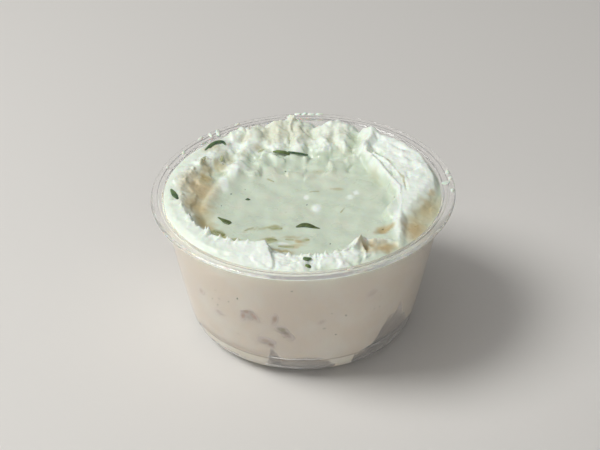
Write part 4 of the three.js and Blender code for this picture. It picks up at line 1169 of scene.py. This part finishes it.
def makeShreds(dipShape):
    parts = []
    for x, y, length, halfWidth, bearing, sunk, skin in surfaceShreds:
        strip, along, across = thinStrip(length, halfWidth, 10, 4, 0.35)
        paintPoints(strip, "skin", skin * smooth((across + 0.6) / 0.8))
        layOnDip(strip, dipShape, x, y, bearing, -sunk - 0.1 * np.abs(across))
        paintPoints(strip, "veil", 0)
        paintPoints(strip, "brown", 0)
        thicken(strip, shreds["thickness"])
        parts.append(strip)
    for bearing, height, length, halfWidth, turn, brown, veil in wallBits:
        strip, along, across = thinStrip(length, halfWidth, 20, 10, 0.5)
        edge = np.hypot(across, 2 * along - 1) + 0.25 * ripple(along * 3 + bearing, across, 66)
        browned = 0.95 + 0.4 * ripple(along * 2.4 + bearing, across, 67)
        paintPoints(strip, "skin", 0.6)
        paintPoints(strip, "brown", brown * browned)
        paintPoints(strip, "veil", mix(veil, 1, smooth((edge - 0.15) / 0.8)))
        layOnWall(strip, bearing, height, turn)
        thicken(strip, shreds["wallThickness"])
        parts.append(strip)
    finishPiece(joinPieces("cucumberBits", parts), cucumberMaterial())


smearShine = {"Roughness": 0.35, "Subsurface Weight": 0.3, "Subsurface Scale": 0.0006}

# Smears of dip left on the rim: bearing, radius, length along the rim, width, thickness, turn
smears = [
    (92.0, 36.2, 1.9, 0.9, 0.35, 10), (89.2, 36.3, 1.5, 1.2, 0.45, 0),
    (86.6, 36.2, 1.8, 1.1, 0.4, 0), (83.3, 36.2, 1.9, 0.8, 0.35, -15),
    (95.5, 35.0, 1.8, 1.3, 0.4, 60), (128.0, 35.4, 0.9, 2.9, 0.4, 24),
    (131.5, 35.6, 0.8, 2.4, 0.35, 20), (136.0, 36.1, 1.8, 0.9, 0.4, 0),
    (148.5, 35.2, 1.6, 0.8, 0.35, -18), (161.0, 35.6, 1.5, 0.7, 0.3, -10),
    (10.5, 36.1, 1.7, 1.1, 0.5, 0), (6.0, 36.3, 1.2, 1.2, 0.5, 0), (357.5, 36.3, 1.4, 1.1, 0.45, 0),
    (3.5, 34.9, 1.6, 2.2, 0.2, -30), (287.5, 35.4, 1.6, 0.5, 0.2, 0),
    (118.0, 35.9, 1.4, 0.7, 0.3, 8),
]


def smearMaterial():
    material, tree, shader = newMaterial("smearedDip", smearShine)
    thin = rangeOf(tree, noiseOf(tree, 1.5, 3), 0.3, 0.7, 0, 0.6)
    layerColours(tree, shader, dip["ridgeColour"], [(thin, dip["hollowColour"])])
    addBump(tree, shader, noiseOf(tree, 0.5, 3), 0.08, 0.6)
    return material


def rimSurface(radius):
    # height of the flange's top face, with its rounded outer edge
    top, rim = cup["height"], cup["rimRadius"]
    edge = [(rim - inward, top - down) for inward, down in cup["lipEdge"][:1:-1]]
    rounded = np.interp(radius, *zip(*edge))
    return np.where(radius < rim - cup["lipWidth"], top - cup["flangeDrop"], rounded)


def makeSmears():
    parts = []
    for number, (bearing, radius, length, width, thickness, turn) in enumerate(smears):
        blob = added(bpy.ops.mesh.primitive_uv_sphere_add, segments=28, ring_count=16, radius=mm)
        bpy.ops.object.shade_smooth()
        spots = pointsOf(blob)
        spots *= (1 + 0.35 * ripple3(spots + number * 5.3, 0.8, 62))[:, None]
        around, out = turned(spots[:, 0] * length / 2, spots[:, 1] * width / 2, math.radians(turn))
        over = np.maximum(radius + out - cup["rimRadius"], 0)
        reach = radius + out - 0.8 * over
        height = rimSurface(reach) + np.maximum(spots[:, 2], -0.1) * thickness - 0.8 * over
        movePoints(blob, wrapped(bearing, around / radius, height, reach))
        blob.data.flip_normals()  # laid flat on the rim, the ball is mirrored
        parts.append(blob)
    finishPiece(joinPieces("rimSmears", parts), smearMaterial())


stage = {
    "floor": {"Base Color": (0.72, 0.71, 0.69, 1), "Roughness": 0.9},
    "sky": {"Color": (1.0, 0.975, 0.94, 1), "Strength": 0.22},
    "lampAim": (0, 0, 0.03),
    # name, place in metres, width, power, colour
    "lamps": [
        ("windowLamp", (-0.45, -0.03, 0.585), 0.36, 4.05, (1.0, 0.99, 0.97)),
        ("fillLamp", (0.1, -0.8, 0.32), 0.8, 1.5, (1.0, 0.97, 0.94)),
    ],
}


def makeFloor():
    floor = added(bpy.ops.mesh.primitive_plane_add, size=6, location=(0, 0, 0))
    floor.name = "paleFloor"
    floor.data.materials.append(newMaterial("paleFloor", stage["floor"])[0])


def makeLights():
    for name, place, size, power, colour in stage["lamps"]:
        lamp = added(bpy.ops.object.light_add, type="AREA", location=place)
        lamp.name = name
        lamp.data.shape = "DISK"
        lamp.data.size = size
        lamp.data.energy = power
        lamp.data.color = colour
        aim = Vector(stage["lampAim"]) - Vector(place)
        lamp.rotation_euler = aim.to_track_quat("-Z", "Y").to_euler()
    world = bpy.data.worlds.new("softRoom")
    bpy.context.scene.world = world
    world.use_nodes = True
    for socket, value in stage["sky"].items():
        world.node_tree.nodes["Background"].inputs[socket].default_value = value


view = {
    "elevation": 33.89,
    "distance": 450.0,
    "aimX": -0.72,
    "aimZ": 26.3,
    "focal": 1827.4,         # in pixels
    "pictureWidth": 600,
    "sensorWidth": 36,
}


def makeCamera():
    tilt = math.radians(view["elevation"])
    aim = Vector((view["aimX"] * mm, 0, view["aimZ"] * mm))
    back = Vector((0, -math.cos(tilt), math.sin(tilt)))
    place = aim + back * view["distance"] * mm
    camera = added(bpy.ops.object.camera_add, location=place)
    camera.name = "camera"
    camera.rotation_euler = (-back).to_track_quat("-Z", "Y").to_euler()
    camera.data.sensor_width = view["sensorWidth"]
    camera.data.lens = view["focal"] / view["pictureWidth"] * view["sensorWidth"]
    camera.data.clip_start = 0.01
    bpy.context.scene.camera = camera


makeCamera()
makeCup()
print("cup made")
dipShape = makeDip()
print("dip made")
makeHerbs(dipShape)
print("herbs made")
makeShreds(dipShape)
print("cucumber made")
makeSpecks(dipShape)
makeSmears()
print("specks and smears made")
makeFloor()
makeLights()
bpy.context.scene.view_settings.view_transform = "Standard"
bpy.context.scene.view_settings.look = "None"
